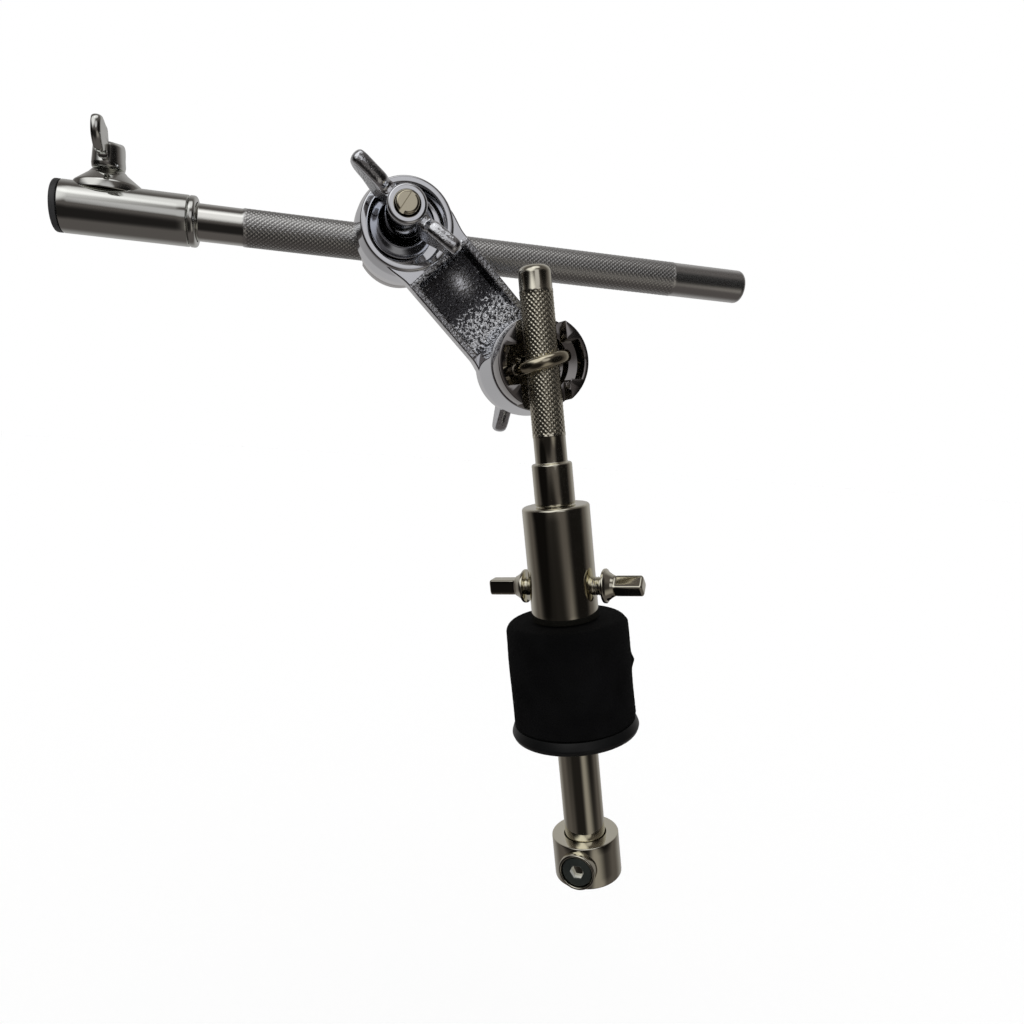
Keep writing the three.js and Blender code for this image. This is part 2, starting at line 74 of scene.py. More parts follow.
X = np.array([1.0, 0.0, 0.0])
Y = np.array([0.0, 1.0, 0.0])
Z = np.array([0.0, 0.0, 1.0])
ORIGIN = np.zeros(3)
DOWN = unit(joint["stem_drop"]["axis"])          # down the hanging holder
ACROSS = unit(np.cross(Y, -DOWN))                # across it, to the right
swing = mm(joint["clamp_swing"]["pos_m"])
tilt = mm(joint["holder_tilt"]["pos_m"])
face_low = tilt[1]                               # groove face of the lower saddle
mid_y = mm(joint["arm_angle"]["pos_m"])[1]       # middle plane of the arm
face_up = 2 * mid_y - face_low                   # groove face of the upper saddle
hang_y = mm(joint["pad_spin"]["pos_m"])[1]
hang = np.array([tilt[0], hang_y, tilt[2]])      # the holder's axis where the clamp grips it
arm_run = unit([tilt[0] - swing[0], 0, tilt[2] - swing[2]])
ARM_L = float(np.hypot(tilt[0] - swing[0], tilt[2] - swing[2]))
print("arm", round(ARM_L, 1), "mm between axes; holder leans",
      round(math.degrees(math.atan2(DOWN[0], -DOWN[2])), 1), "degrees")

# %% [markdown]
# ## Meshes from arrays
# A surface is a grid of points. One helper joins the grid's neighbours into faces, closes it round
# where it should close, and puts a single point on an axis instead of a ring of equal ones, so that
# seams and poles are shut. It could be done with Spin or Screw, but an array keeps the same order of
# points every time, and lets a pattern such as a knurl be part of the formula.

# %% Grid helper


def finish_mesh(name, verts, faces, sharp=35.0):
    """A mesh object at the origin from points in mm; edges bent by more than sharp degrees stay crisp."""
    mesh = bpy.data.meshes.new(name)
    mesh.from_pydata((np.asarray(verts) * MM).tolist(), [], faces)
    mesh.validate()
    mesh.shade_smooth()
    mesh.set_sharp_from_angle(angle=rad(sharp))
    obj = bpy.data.objects.new(name, mesh)
    bpy.context.collection.objects.link(obj)
    return obj


def grid_faces(rows, cols, wrap_rows, wrap_cols, start=0):
    """Quads between neighbours of a rows by cols grid, numbered row by row from start."""
    i = np.arange(rows if wrap_rows else rows - 1)
    j = np.arange(cols if wrap_cols else cols - 1)
    a, b = np.meshgrid(i, j, indexing="ij")
    a2, b2 = (a + 1) % rows, (b + 1) % cols
    quad = np.stack([a * cols + b, a2 * cols + b, a2 * cols + b2, a * cols + b2], axis=-1)
    return (quad.reshape(-1, 4) + start).tolist()


def shell(points, wrap_rows=False, poles=(None, None)):
    """Points and faces of a tube-like grid: columns close round; each pole is a point that shuts an end."""
    rows, cols = points.shape[:2]
    verts = points.reshape(-1, 3)
    faces = grid_faces(rows, cols, wrap_rows, True)
    ring = np.arange(cols)
    nxt = (ring + 1) % cols
    for end, pole in enumerate(poles):
        if pole is None:
            continue
        tip = len(verts)
        verts = np.vstack([verts, pole])
        row = 0 if end == 0 else (rows - 1) * cols
        a, b = (row + ring, row + nxt) if end == 0 else (row + nxt, row + ring)
        faces += np.stack([a, b, np.full(cols, tip)], axis=-1).tolist()
    return verts, faces


def volume(verts, faces):
    """Signed volume of a closed mesh: the sum of the small tetrahedra from the origin to each face."""
    total = 0.0
    for size in sorted({len(q) for q in faces}):
        f = np.array([q for q in faces if len(q) == size])
        if len(f):
            for k in range(1, size - 1):
                a, b, c = verts[f[:, 0]], verts[f[:, k]], verts[f[:, k + 1]]
                total += float(np.einsum("ij,ij->i", a, np.cross(b, c)).sum()) / 6
    return total


def joined(parts):
    """Several closed shells as one list of points and faces, each turned to face outwards."""
    verts, faces, count = [], [], 0
    for v, f in parts:
        if volume(v - v.mean(axis=0), f) < 0:
            f = [q[::-1] for q in f]
        verts.append(v)
        faces += [[k + count for k in q] for q in f]
        count += len(v)
    return np.vstack(verts), faces


def build(name, parts, sharp=35.0):
    """One object from one or more closed shells."""
    verts, faces = joined(parts)
    obj = finish_mesh(name, verts, faces, sharp)
    print(name, len(faces), "faces")
    return obj


# %% [markdown]
# ## Turned pieces
# A lathe profile is a short list of corners: radius, height, and how much the corner is rounded.
# The rounding is an arc tangent to both sides, which is what catches the light on a real turned edge.
# A sharp corner would look like a drawing; a bevel modifier would round them all alike.

# %% Profiles and turning


def rounded(corners, closed=False, steps=5):
    """Corners (r, h, fillet) as a polyline: each corner is an arc tangent to its two sides."""
    pts = [np.array(c[:2], dtype=float) for c in corners]
    fil = [c[2] if len(c) > 2 else 0.0 for c in corners]
    out = []
    n = len(pts)
    for i, p in enumerate(pts):
        if fil[i] <= 0 or (not closed and i in (0, n - 1)):
            out.append(p)
            continue
        a, b = pts[i - 1] - p, pts[(i + 1) % n] - p
        la, lb = np.linalg.norm(a), np.linalg.norm(b)
        a, b = a / la, b / lb
        half = math.acos(np.clip(np.dot(a, b), -1, 1)) / 2
        back = min(fil[i] / math.tan(half), la * 0.49, lb * 0.49)
        r = back * math.tan(half)
        centre = p + unit(a + b) * r / math.sin(half)
        v0, v1 = p + a * back - centre, p + b * back - centre
        sweep = math.atan2(v0[0] * v1[1] - v0[1] * v1[0], float(np.dot(v0, v1)))
        for t in np.linspace(0, sweep, steps):
            c, s = math.cos(t), math.sin(t)
            out.append(centre + np.array([c * v0[0] - s * v0[1], s * v0[0] + c * v0[1]]))
    return np.array(out)


def refined(line, step):
    """The polyline with points added so that no stretch is longer than step."""
    out = [line[:1]]
    for a, b in zip(line[:-1], line[1:]):
        k = max(1, int(math.ceil(np.linalg.norm(b - a) / step)))
        out.append(a + (b - a) * np.linspace(0, 1, k + 1)[1:, None])
    return np.vstack(out)


def frame_of(axis, side):
    """Three directions: the side made square to the axis, the third, and the axis."""
    w = unit(axis)
    u = unit(np.asarray(side, dtype=float) - np.dot(side, w) * w)
    return u, np.cross(w, u), w


def turn(line, at, axis, side=Y, sides=96, hollow=False, wobble=None):
    """Point = at + r*(cos a * u + sin a * v) + h * axis, for each (r, h) of the line and angle a.
    wobble(a, h) adds to the radius. A line that starts or ends on the axis is shut by one point there."""
    u, v, w = frame_of(axis, side)
    line = np.asarray(line, dtype=float)
    poles = [None, None]
    if not hollow:
        if line[0, 0] < 1e-6:
            poles[0] = at + line[0, 1] * w
            line = line[1:]
        if line[-1, 0] < 1e-6:
            poles[1] = at + line[-1, 1] * w
            line = line[:-1]
    a = np.linspace(0, 2 * math.pi, sides, endpoint=False)
    r = np.repeat(line[:, :1], sides, axis=1)
    h = np.repeat(line[:, 1:2], sides, axis=1)
    if wobble is not None:
        r = r + wobble(np.repeat(a[None, :], len(line), axis=0), h)
    p = at + (r * np.cos(a))[..., None] * u + (r * np.sin(a))[..., None] * v + h[..., None] * w
    return shell(p, wrap_rows=hollow, poles=poles)


def triangle(t):
    """A wave of straight slopes from 0 at whole numbers to 1 halfway."""
    return 1 - np.abs(2 * (t - np.floor(t)) - 1)


def knurl(count, pitch, depth, start, end, fade=1.2):
    """Diamonds: two sets of slanting grooves, count round and one pitch along, cut to depth.
    The crests are untouched. The cut fades out at each end, as a knurling wheel leaves it."""
    def cut(a, h):
        t = a / (2 * math.pi) * count
        z = (h - start) / pitch
        crest = np.minimum(triangle(t + z), triangle(t - z))
        room = np.clip(np.minimum(h - start, end - h) / fade, 0, 1)
        return -depth * (1 - np.sqrt(np.clip(crest, 0, 1))) * room
    return cut


# %% [markdown]
# ## Finishes
# Bright plating is a metal with very little roughness: what it looks like is what it mirrors. Two
# things keep it from looking computed: a faint unevenness of the polish, and small scuffs. The
# knurled rods get a duller plate, and their grooves a painted shade. The eye bolts and saddles get
# darker copies of the plate, which are painted shade. The cast web of the arm is plated over a rough
# skin, so only there the bump is coarse; a value painted on the points says where, and there the
# colour is darkened as a painted shade, but for painted highlight sparks.

# %% Material helpers


def new_material(name):
    """An empty node material with a Principled shader; returns material, nodes, links, shader."""
    m = bpy.data.materials.new(name)
    m.use_nodes = True
    nodes, links = m.node_tree.nodes, m.node_tree.links
    return m, nodes, links, nodes["Principled BSDF"]


def noise(nodes, links, coords, scale, detail=3.0, rough=0.55):
    """A noise texture on the given coordinates."""
    n = nodes.new("ShaderNodeTexNoise")
    n.inputs["Scale"].default_value = scale
    n.inputs["Detail"].default_value = detail
    n.inputs["Roughness"].default_value = rough
    links.new(coords, n.inputs["Vector"])
    return n.outputs["Fac"]


def ramp(nodes, links, value, stops):
    """A colour ramp: stops are (place, colour)."""
    r = nodes.new("ShaderNodeValToRGB")
    e = r.color_ramp.elements
    e[0].position, e[0].color = stops[0][0], (*stops[0][1], 1)
    e[1].position, e[1].color = stops[-1][0], (*stops[-1][1], 1)
    for place, colour in stops[1:-1]:
        k = e.new(place)
        k.color = (*colour, 1)
    links.new(value, r.inputs["Fac"])
    return r.outputs["Color"]


def stretch(nodes, links, value, low, high):
    """Maps a 0 to 1 value to low to high."""
    n = nodes.new("ShaderNodeMapRange")
    n.inputs["To Min"].default_value = low
    n.inputs["To Max"].default_value = high
    links.new(value, n.inputs["Value"])
    return n.outputs["Result"]


def bump(nodes, links, height, strength, distance, before=None):
    """A bump node; distance in metres."""
    b = nodes.new("ShaderNodeBump")
    b.inputs["Strength"].default_value = strength
    b.inputs["Distance"].default_value = distance
    links.new(height, b.inputs["Height"])
    if before is not None:
        links.new(before, b.inputs["Normal"])
    return b.outputs["Normal"]


def plated(name, colour, rough, uneven=0.05, ripple=0.00002):
    """Bright plate: metal, low roughness that varies a little in clouds and scuffs, and a faint ripple."""
    m, nodes, links, bsdf = new_material(name)
    bsdf.inputs["Metallic"].default_value = 1.0
    bsdf.inputs["Base Color"].default_value = (*colour, 1)
    where = nodes.new("ShaderNodeTexCoord").outputs["Object"]
    cloud = noise(nodes, links, where, 90, 4)
    scuff = noise(nodes, links, where, 900, 2, 0.7)
    mix = nodes.new("ShaderNodeMath")
    mix.operation = "MULTIPLY"
    links.new(cloud, mix.inputs[0])
    links.new(scuff, mix.inputs[1])
    links.new(stretch(nodes, links, mix.outputs[0], rough, rough + uneven * 2), bsdf.inputs["Roughness"])
    links.new(bump(nodes, links, cloud, 0.35, ripple), bsdf.inputs["Normal"])
    return m


chrome = plated("bright_chrome", (0.78, 0.79, 0.76), 0.045, 0.03)
nickel = plated("warm_nickel", (0.80, 0.77, 0.65), 0.045, 0.025)
# the eye bolts and saddles get darker copies of the plate, which are painted shade
bolt_plate = plated("nickel_painted_shade", (0.66, 0.61, 0.47), 0.05, 0.03)
saddle_plate = plated("chrome_painted_shade", (0.40, 0.385, 0.38), 0.06, 0.04)
print("finishes: chrome, nickel and the darker plates of the eye bolts and saddles")

# %% Knurled steel, cast chrome with painted shade and painted highlight sparks


def knurled(name, polish, colour, valley_shade, rough):
    """Plate over a knurl. The points' own 'groove' value is 0 where the rod is polished, 0.1 on the knurl's
    crests and 1 in its grooves, which are duller, and darker by a painted shade."""
    m, nodes, links, bsdf = new_material(name)
    bsdf.inputs["Metallic"].default_value = 1.0
    where = nodes.new("ShaderNodeTexCoord").outputs["Object"]
    mark = nodes.new("ShaderNodeAttribute")
    mark.attribute_name = "groove"
    tones = [(0.0, polish), (0.1, colour), (0.35, colour), (1.0, valley_shade)]
    links.new(ramp(nodes, links, mark.outputs["Fac"], tones), bsdf.inputs["Base Color"])
    dull = [(0.0, (0.05,) * 3), (0.1, (rough,) * 3), (1.0, (rough + 0.22,) * 3)]
    links.new(ramp(nodes, links, mark.outputs["Fac"], dull), bsdf.inputs["Roughness"])
    grain = noise(nodes, links, where, 2600, 3, 0.6)
    links.new(bump(nodes, links, grain, 0.25, 0.00003), bsdf.inputs["Normal"])
    return m


def cast_chrome(name, colour, shade_colour):
    """Chrome over a casting: mirror-bright where the first of the points' two marks is 0. Where it is 1 the
    skin is pitted, and its colour is darkened as a painted shade, but for painted highlight sparks that keep
    the bright colour; the second mark says how many sparks."""
    m, nodes, links, bsdf = new_material(name)
    bsdf.inputs["Metallic"].default_value = 1.0
    where = nodes.new("ShaderNodeTexCoord").outputs["Object"]
    marks = []
    for kind in ("cast", "painted_sparks"):
        mark = nodes.new("ShaderNodeAttribute")
        mark.attribute_name = kind
        marks.append(mark.outputs["Fac"])
    cast, painted_sparks = marks

    def both(kind, one, two):
        n = nodes.new("ShaderNodeMath")
        n.operation = kind
        for k, v in enumerate((one, two)):
            if isinstance(v, float):
                n.inputs[k].default_value = v
            else:
                links.new(v, n.inputs[k])
        return n.outputs[0]

    pits = noise(nodes, links, where, 1150, 2, 0.6)
    skin = both("MULTIPLY", pits, cast)
    level = both("ADD", pits, both("MULTIPLY", painted_sparks, 0.19))
    # painted shade and painted highlights: where the skin is marked the colour goes to the dark one, except
    # in the sparks, which stay at the bright colour
    black, white = (0, 0, 0), (1, 1, 1)
    painted_spark_mask = ramp(nodes, links, level, [(0.0, black), (0.64, black), (0.69, white), (1.0, white)])
    shade = both("MULTIPLY", cast, both("SUBTRACT", 1.0, painted_spark_mask))
    mix = nodes.new("ShaderNodeMix")
    mix.data_type = "RGBA"
    mix.inputs["A"].default_value = (*colour, 1)
    mix.inputs["B"].default_value = (*shade_colour, 1)
    links.new(shade, mix.inputs["Factor"])
    links.new(mix.outputs["Result"], bsdf.inputs["Base Color"])
    soft = noise(nodes, links, where, 70, 2)
    first = bump(nodes, links, soft, 0.3, 0.00006)
    links.new(bump(nodes, links, skin, 1.0, 0.0007, first), bsdf.inputs["Normal"])
    links.new(stretch(nodes, links, cast, 0.06, 0.12), bsdf.inputs["Roughness"])
    return m


# the darker groove colours are painted shade
boom_steel = knurled("boom_knurl", (0.80, 0.80, 0.77), (0.72, 0.72, 0.71), (0.20, 0.20, 0.20), 0.2)
rod_steel = knurled("rod_knurl", (0.80, 0.77, 0.65), (0.88, 0.84, 0.70), (0.34, 0.31, 0.23), 0.09)
# the chrome of the clamp and the wing nuts, with its painted shade and painted highlight sparks
shaded_casting = cast_chrome("cast_chrome", (0.86, 0.88, 0.92), (0.09, 0.09, 0.10))
print("finishes: knurled steel and cast chrome")

# %% Felt, rubber, nylon, black oxide


def plain(name, colour, rough, scale, strength, distance, shine=0.5, metal=0.0):
    """A matte finish: a noise at the given scale moves the roughness a little and raises a fine bump."""
    m, nodes, links, bsdf = new_material(name)
    bsdf.inputs["Metallic"].default_value = metal
    bsdf.inputs["Specular IOR Level"].default_value = shine
    where = nodes.new("ShaderNodeTexCoord").outputs["Object"]
    grain = noise(nodes, links, where, scale, 4, 0.7)
    cloud = noise(nodes, links, where, 60, 2)
    dark = tuple(c * 0.6 for c in colour)
    light = tuple(c * 1.5 for c in colour)
    links.new(ramp(nodes, links, cloud, [(0.3, dark), (0.7, light)]), bsdf.inputs["Base Color"])
    links.new(stretch(nodes, links, grain, rough - 0.08, min(1.0, rough + 0.08)), bsdf.inputs["Roughness"])
    links.new(bump(nodes, links, grain, strength, distance), bsdf.inputs["Normal"])
    return m


felt = plain("black_felt", (0.0022, 0.0022, 0.0024), 0.95, 2200, 0.9, 0.00025, shine=0.08)
rubber = plain("dark_rubber", (0.0035, 0.0038, 0.004), 0.36, 1600, 0.25, 0.00005, shine=0.3)
nylon = plain("black_nylon", (0.02, 0.02, 0.021), 0.45, 1500, 0.2, 0.00004)
oxide = plain("black_oxide", (0.05, 0.058, 0.053), 0.38, 1800, 0.25, 0.00004, metal=0.7)
socket_mark = oxide.node_tree.nodes.new("ShaderNodeAttribute")   # the key has worn the socket bright
socket_mark.attribute_name = "worn"
worn_mix = oxide.node_tree.nodes.new("ShaderNodeMix")
worn_mix.data_type = "RGBA"
worn_mix.inputs["B"].default_value = (0.95, 0.97, 0.97, 1)
oxide_shader = oxide.node_tree.nodes["Principled BSDF"]
oxide.node_tree.links.new(socket_mark.outputs["Fac"], worn_mix.inputs["Factor"])
oxide.node_tree.links.new(oxide_shader.inputs["Base Color"].links[0].from_socket, worn_mix.inputs["A"])
oxide.node_tree.links.new(worn_mix.outputs["Result"], oxide_shader.inputs["Base Color"])
print("finishes: felt, rubber, nylon, oxide")


def dress(obj, material, body, node):
    """Gives a finished piece its material, rides it on its body, and hides the CAD node that it stands for.
    """
    obj.data.materials.append(material)
    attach(obj, body)
    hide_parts(node)
    return obj


def mark_points(obj, name, values):
    """Stores one value per point, for a material to read."""
    att = obj.data.attributes.new(name, "FLOAT", "POINT")
    att.data.foreach_set("value", np.asarray(values, dtype=np.float32))


# %% [markdown]
# ## The boom
# The tube is a plain turned sleeve with a pressed boss for its wing bolt. Its mouth has a separate
# bushing with a soft rounded lip, and the far end is plugged. The rod that slides in it is smooth,
# then knurled for most of its length so the clamp can't slip, then smooth and rounded at the tip.

# %% Tube, plug and bushing
TUBE_R, TUBE_BORE = 8.3, 7.4
TUBE_FROM, TUBE_TO, LIP_TO = 2.3, 40.7, 43.2
BOSS_X, BOSS_TOP, BOSS_SQUEEZE = mm(joint["tube_bolt_turn"]["pos_m"])[0], 12.8, 0.72
PLUG_TO, LIP_BORE, LIP_FROM = 7.1, 6.4, 24

tube_line = rounded([
    (TUBE_BORE, TUBE_FROM), (TUBE_R, TUBE_FROM, 0.3), (TUBE_R, TUBE_TO, 0.45), (TUBE_BORE, TUBE_TO),
], closed=True)
boss_line = rounded([
    (3.3, 7.9), (10.9, 5.6, 0.3), (10.4, 8.3, 1.5), (6.0, 11.6, 2.0), (4.9, BOSS_TOP, 0.3), (3.3, BOSS_TOP),
], closed=True)


def boss_shell():
    """The boss is turned about the bolt, then squeezed across the tube so that it sits on its top."""
    v, f = turn(refined(boss_line, 1.0), ORIGIN, Z, X, 72, hollow=True)
    v = v * np.array([1.0, BOSS_SQUEEZE, 1.0]) + np.array([BOSS_X, 0, 0])
    return v, f


tube_sleeve = turn(refined(tube_line, 3), ORIGIN, X, sides=128, hollow=True)
tube = build("boom_tube_shell", [tube_sleeve, boss_shell()])
dress(tube, chrome, "tube", "boom_tube")

plug_line = rounded([
    (0, 0), (TUBE_R, 0, 0.7), (TUBE_R, TUBE_FROM - GAP, 0.2), (TUBE_BORE - GAP, TUBE_FROM - GAP),
    (TUBE_BORE - GAP, PLUG_TO, 0.5), (0, PLUG_TO)])
plug = build("end_plug", [turn(plug_line, ORIGIN, X)])
dress(plug, nylon, "tube", "tube_end_plug")

lip_line = rounded([
    (LIP_BORE, LIP_FROM), (TUBE_BORE - GAP, LIP_FROM, 0.2), (TUBE_BORE - GAP, TUBE_TO + GAP),
    (TUBE_R, TUBE_TO + GAP, 0.3), (TUBE_R, LIP_TO, 1.1), (LIP_BORE, LIP_TO, 0.25)], closed=True)
lip = build("mouth_bushing", [turn(lip_line, ORIGIN, X, sides=128, hollow=True)])
dress(lip, chrome, "tube", "tube_bushing")

# %% Boom rod
ROD_FROM, KNURL_FROM, KNURL_TO, ROD_TO = 14.0, 58.2, 214.8, 244.6
ROD_NECK, ROD_CREST, ROD_TIP = 6.1, 6.35, 6.2
BOOM_COUNT, BOOM_PITCH, BOOM_CUT, KNURL_STEPS = 26, 1.6, 0.22, 6

neck_line = rounded([(0, ROD_FROM), (ROD_NECK, ROD_FROM, 0.7), (ROD_NECK, KNURL_FROM - 0.6)])
boom_rows = int((KNURL_TO - KNURL_FROM) / BOOM_PITCH * KNURL_STEPS) + 1
knurl_line = np.stack([np.full(boom_rows, ROD_CREST), np.linspace(KNURL_FROM, KNURL_TO, boom_rows)], axis=1)
tip_line = rounded([(ROD_TIP, KNURL_TO + 0.6), (ROD_TIP, ROD_TO, 2.2), (0, ROD_TO)], steps=9)
boom_cut = knurl(BOOM_COUNT, BOOM_PITCH, BOOM_CUT, KNURL_FROM, KNURL_TO)


def knurled_rod(name, line, at, axis, side, sides, cut, crest, depth, satin):
    """A turned rod whose radius is cut by the knurl; each point's groove value is how deep it was cut.
    satin gives where the knurl starts and ends, and whether what follows it is dull (1) or polished (0)."""
    obj = build(name, [turn(line, at, axis, side, sides, wobble=cut)], sharp=50)
    n = len(obj.data.vertices)
    co = np.empty(n * 3, dtype=np.float32)
    obj.data.vertices.foreach_get("co", co)
    rel = co.reshape(-1, 3) * 1000.0 - at
    w = unit(axis)
    r = np.linalg.norm(rel - (rel @ w)[:, None] * w, axis=1)
    h = rel @ w
    knurl_part = (h > satin[0]) & (h < satin[1])
    mark_points(obj, "groove", np.where(knurl_part, 0.1 + 0.9 * np.clip((crest - r) / depth, 0, 1), 0.0)
                + 0.1 * (h >= satin[1]) * satin[2])
    return obj


boom = knurled_rod("boom_rod_knurled", np.vstack([neck_line, knurl_line, tip_line]), ORIGIN, X, Y,
                   BOOM_COUNT * KNURL_STEPS, boom_cut, ROD_CREST, BOOM_CUT, (KNURL_FROM, KNURL_TO, 1))
dress(boom, boom_steel, "boom", "boom_rod")

# %% [markdown]
# ## Wing nuts and the wing bolt
# Each is a turned hub with two cast ears. An ear is a flat pebble: its outline is a smooth closed
# curve, and the edge all round is a half circle. The outline is swept inwards from the edge to the
# middle on both sides, which gives rounded edges everywhere without a bevel that could break.

# %% Ears


def smooth_outline(points, per=10):
    """A closed Catmull-Rom curve through the points: each stretch is a cubic of four neighbours."""
    p = np.asarray(points, dtype=float)
    t = np.linspace(0, 1, per, endpoint=False)[:, None]
    a, b, c, d = np.roll(p, 1, 0), p, np.roll(p, -1, 0), np.roll(p, -2, 0)
    out = [0.5 * (2 * b[i] + (c[i] - a[i]) * t + (2 * a[i] - 5 * b[i] + 4 * c[i] - d[i]) * t ** 2
                  + (3 * b[i] - a[i] - 3 * c[i] + d[i]) * t ** 3) for i in range(len(p))]
    return np.vstack(out)


def pebble(outline, middle, thick, at, along, up, flat=0.55, steps=9):
    """Rows from one face's middle, over the rounded edge, to the other's. Near the edge the outline is
    drawn in by e*(1 - cos q) and stands e*sin q off the middle plane, with q from -90 to 90 degrees."""
    out = np.asarray(outline, dtype=float)
    middle = np.asarray(middle, dtype=float)
    e = thick / 2
    q = np.linspace(-math.pi / 2, math.pi / 2, steps)
    inward = middle - out
    inward = inward / np.linalg.norm(inward, axis=1, keepdims=True)
    rows = [out + inward * (e * flat * (1 - math.cos(a))) for a in q]
    lift = [e * math.sin(a) for a in q]
    face = rows[0]
    low = [middle + (face - middle) * s for s in (0.3, 0.65)]
    skin = np.array(low + rows + low[::-1])
    height = np.array([-e, -e] + lift + [e, e])
    side = np.cross(along, up)
    p = at + skin[..., :1] * along + skin[..., 1:] * up + height[:, None, None] * side
    centre = at + middle[0] * along + middle[1] * up
    return shell(p, poles=(centre - e * side, centre + e * side))


def ear_outline(span, low, notch, top, inner):
    """One ear, from inside the hub out to its round tip: the front edge is nearly straight."""
    return smooth_outline([
        (4.4, low + 1.5), (6.6, low + 0.4), (inner + 0.8, low + 1.6), (span - 4.4, top - 10.2),
        (span - 0.9, top - 7.2), (span + 0.1, top - 4.2), (span - 0.5, top - 1.0), (span - 2.6, top),
        (inner + 2.6, top - 1.0), (inner, top - 1.9), (inner - 1.6, notch + 0.2), (5.6, notch),
        (4.4, notch - 0.3)])


def wing_nut(name, at, axis, along, hub_line, ear, middle, thick, hollow):
    """A turned hub and two ears, one each way along."""
    along, _, w = frame_of(axis, along)
    parts = [turn(refined(hub_line, 1.5), at, w, along, 96, hollow=hollow)]
    parts += [pebble(ear, middle, thick, at, along * s, w) for s in (1, -1)]
    obj = build(name, parts)
    ears = np.arange(len(obj.data.vertices)) >= len(parts[0][0])
    # the ears get a light cast-skin bump and a slight painted shade, with painted highlight sparks all over
    mark_points(obj, "cast", 0.16 * ears)
    mark_points(obj, "painted_sparks", 1.0 * ears)
    return obj


# %% Wing bolt on the tube
bolt_at = np.array([BOSS_X, 0, BOSS_TOP + GAP])
bolt_line = rounded([
    (0, -6.3), (3.0, -6.3, 0.5), (3.0, 0), (4.9, 0, 0.5), (5.1, 1.4, 1.0), (4.7, 7.0, 0.8), (3.6, 8.0, 0.5),
    (0, 8.0)])
bolt_ear = ear_outline(16.5, 1.2, 6.3, 12.4, 7.2)
bolt = wing_nut("tube_wing_bolt_cast", bolt_at, Z, Y, bolt_line, bolt_ear, (11.0, 7.2), 3.0, False)
dress(bolt, chrome, "tube_bolt", "tube_wing_bolt")

# %% Clamp wing nuts
BARREL_L, RECESS_D, STEM_R = 34.65, 8.0, 3.5
NUT_H, WING_FRONT, WING_REAR, WING_T = 25.2, 20.0, 22.0, 4.3
WASHER_R, WASHER_T, NUT_LIFT = 8.9, 1.3, 0.25
FRONT_TURN, REAR_DIP = 37.0, 3.5
washer_seat = BARREL_L - RECESS_D + GAP
nut_seat = washer_seat + WASHER_T + GAP + NUT_LIFT
nut_line = rounded([
    (STEM_R + GAP, 0), (10.4, 0, 0.3), (10.4, 1.7, 0.5), (7.6, 4.4, 3.5), (6.3, 10.5, 8), (5.9, NUT_H, 0.9),
    (STEM_R + GAP, NUT_H, 0.35)], closed=True, steps=8)
nut_middle = (13.2, 20.4)
boom_at = np.array([swing[0], 0.0, 0.0])
up_at = np.array([swing[0], face_up, 0.0])
low_at = np.array([tilt[0], face_low, tilt[2]])
stud_axis = unit(joint["upper_nut_turn"]["axis"])     # the front eye bolt leans a little in its bore
stud_at = boom_at - stud_axis * face_up
front_wing = np.array([math.cos(rad(FRONT_TURN)), 0, -math.sin(rad(FRONT_TURN))])
rear_wing = np.array([math.sin(rad(REAR_DIP)), 0, math.cos(rad(REAR_DIP))])

front_nut = wing_nut("front_wing_nut_cast", stud_at + stud_axis * nut_seat, stud_axis, front_wing, nut_line,
                     ear_outline(WING_FRONT, 10.5, NUT_H - 1.6, NUT_H + 2.3, 9.0), nut_middle, WING_T, True)
dress(front_nut, shaded_casting, "upper_nut", "upper_wing_nut")
rear_nut = wing_nut("rear_wing_nut_cast", low_at + Y * nut_seat, Y, rear_wing, nut_line,
                    ear_outline(WING_REAR, 10.5, NUT_H - 1.6, NUT_H + 2.3, 9.0), nut_middle, WING_T, True)
dress(rear_nut, shaded_casting, "lower_nut", "lower_wing_nut")

# %% [markdown]
# ## The clamp casting
# Two barrels and a sunk arm. Each barrel is turned, with its recess, its bore and the socket of its
# saddle in one closed profile. The arm is a beam whose cross-section changes along it: rails at both
# edges, a web sunk between them that starts with a short wall and climbs again towards the far
# barrel. It ends inside the barrels' walls, and flares a little as it meets them.

# %% Barrels and arm
FACE_R, CAP_R, OPEN_R, BULGE_R, RING_R, BORE_R = 14.4, 14.7, 14.9, 16.3, 14.6, 4.9
CAP_T, SOCKET_R, SOCKET_D, RECESS_R = 8.2, 14.1, 16.3, 12.3
barrel_line = rounded([
    (SOCKET_R, CAP_T + GAP), (OPEN_R, CAP_T + GAP, 0.25), (BULGE_R, 21.5, 10), (BULGE_R - 0.4, 29.0, 6),
    (RING_R, BARREL_L, 0.7), (RECESS_R + 0.1, BARREL_L, 0.5), (RECESS_R, BARREL_L - RECESS_D, 0.8),
    (BORE_R, BARREL_L - RECESS_D, 0.3), (BORE_R, SOCKET_D), (SOCKET_R, SOCKET_D)],
    closed=True, steps=7)
ARM_W, ARM_T, RAIL, SINK, BED_FROM = 25.0, 12.4, 2.4, 4.2, 16.0
ARM_INNER = 14.2                                 # the arm's ends lie this far inside the barrels
DRAFT = 0.104                                    # share by which the arm is narrower behind
ARM_EDGE, FLAT_COLS, EDGE_COLS, ARM_ROWS = 0.5, 101, 5, 160
DOME_H, DOME_S, DOME_LAT = 0.4, 24.5, 2.0        # a low swelling on the web, and where it is


def smoothstep(t):
    """0 below 0, 1 above 1, and an S between."""
    t = np.clip(t, 0, 1)
    return t * t * (3 - 2 * t)


def bed_depth(s):
    """How deep the web is sunk at s from the near ring: a short wall, a flat bed, a climb to the barrel."""
    down = smoothstep((s - BED_FROM) / 1.6)
    climb = 1 - smoothstep((s - (ARM_L - 28.5)) / 14.0)
    return SINK * np.minimum(down, climb)


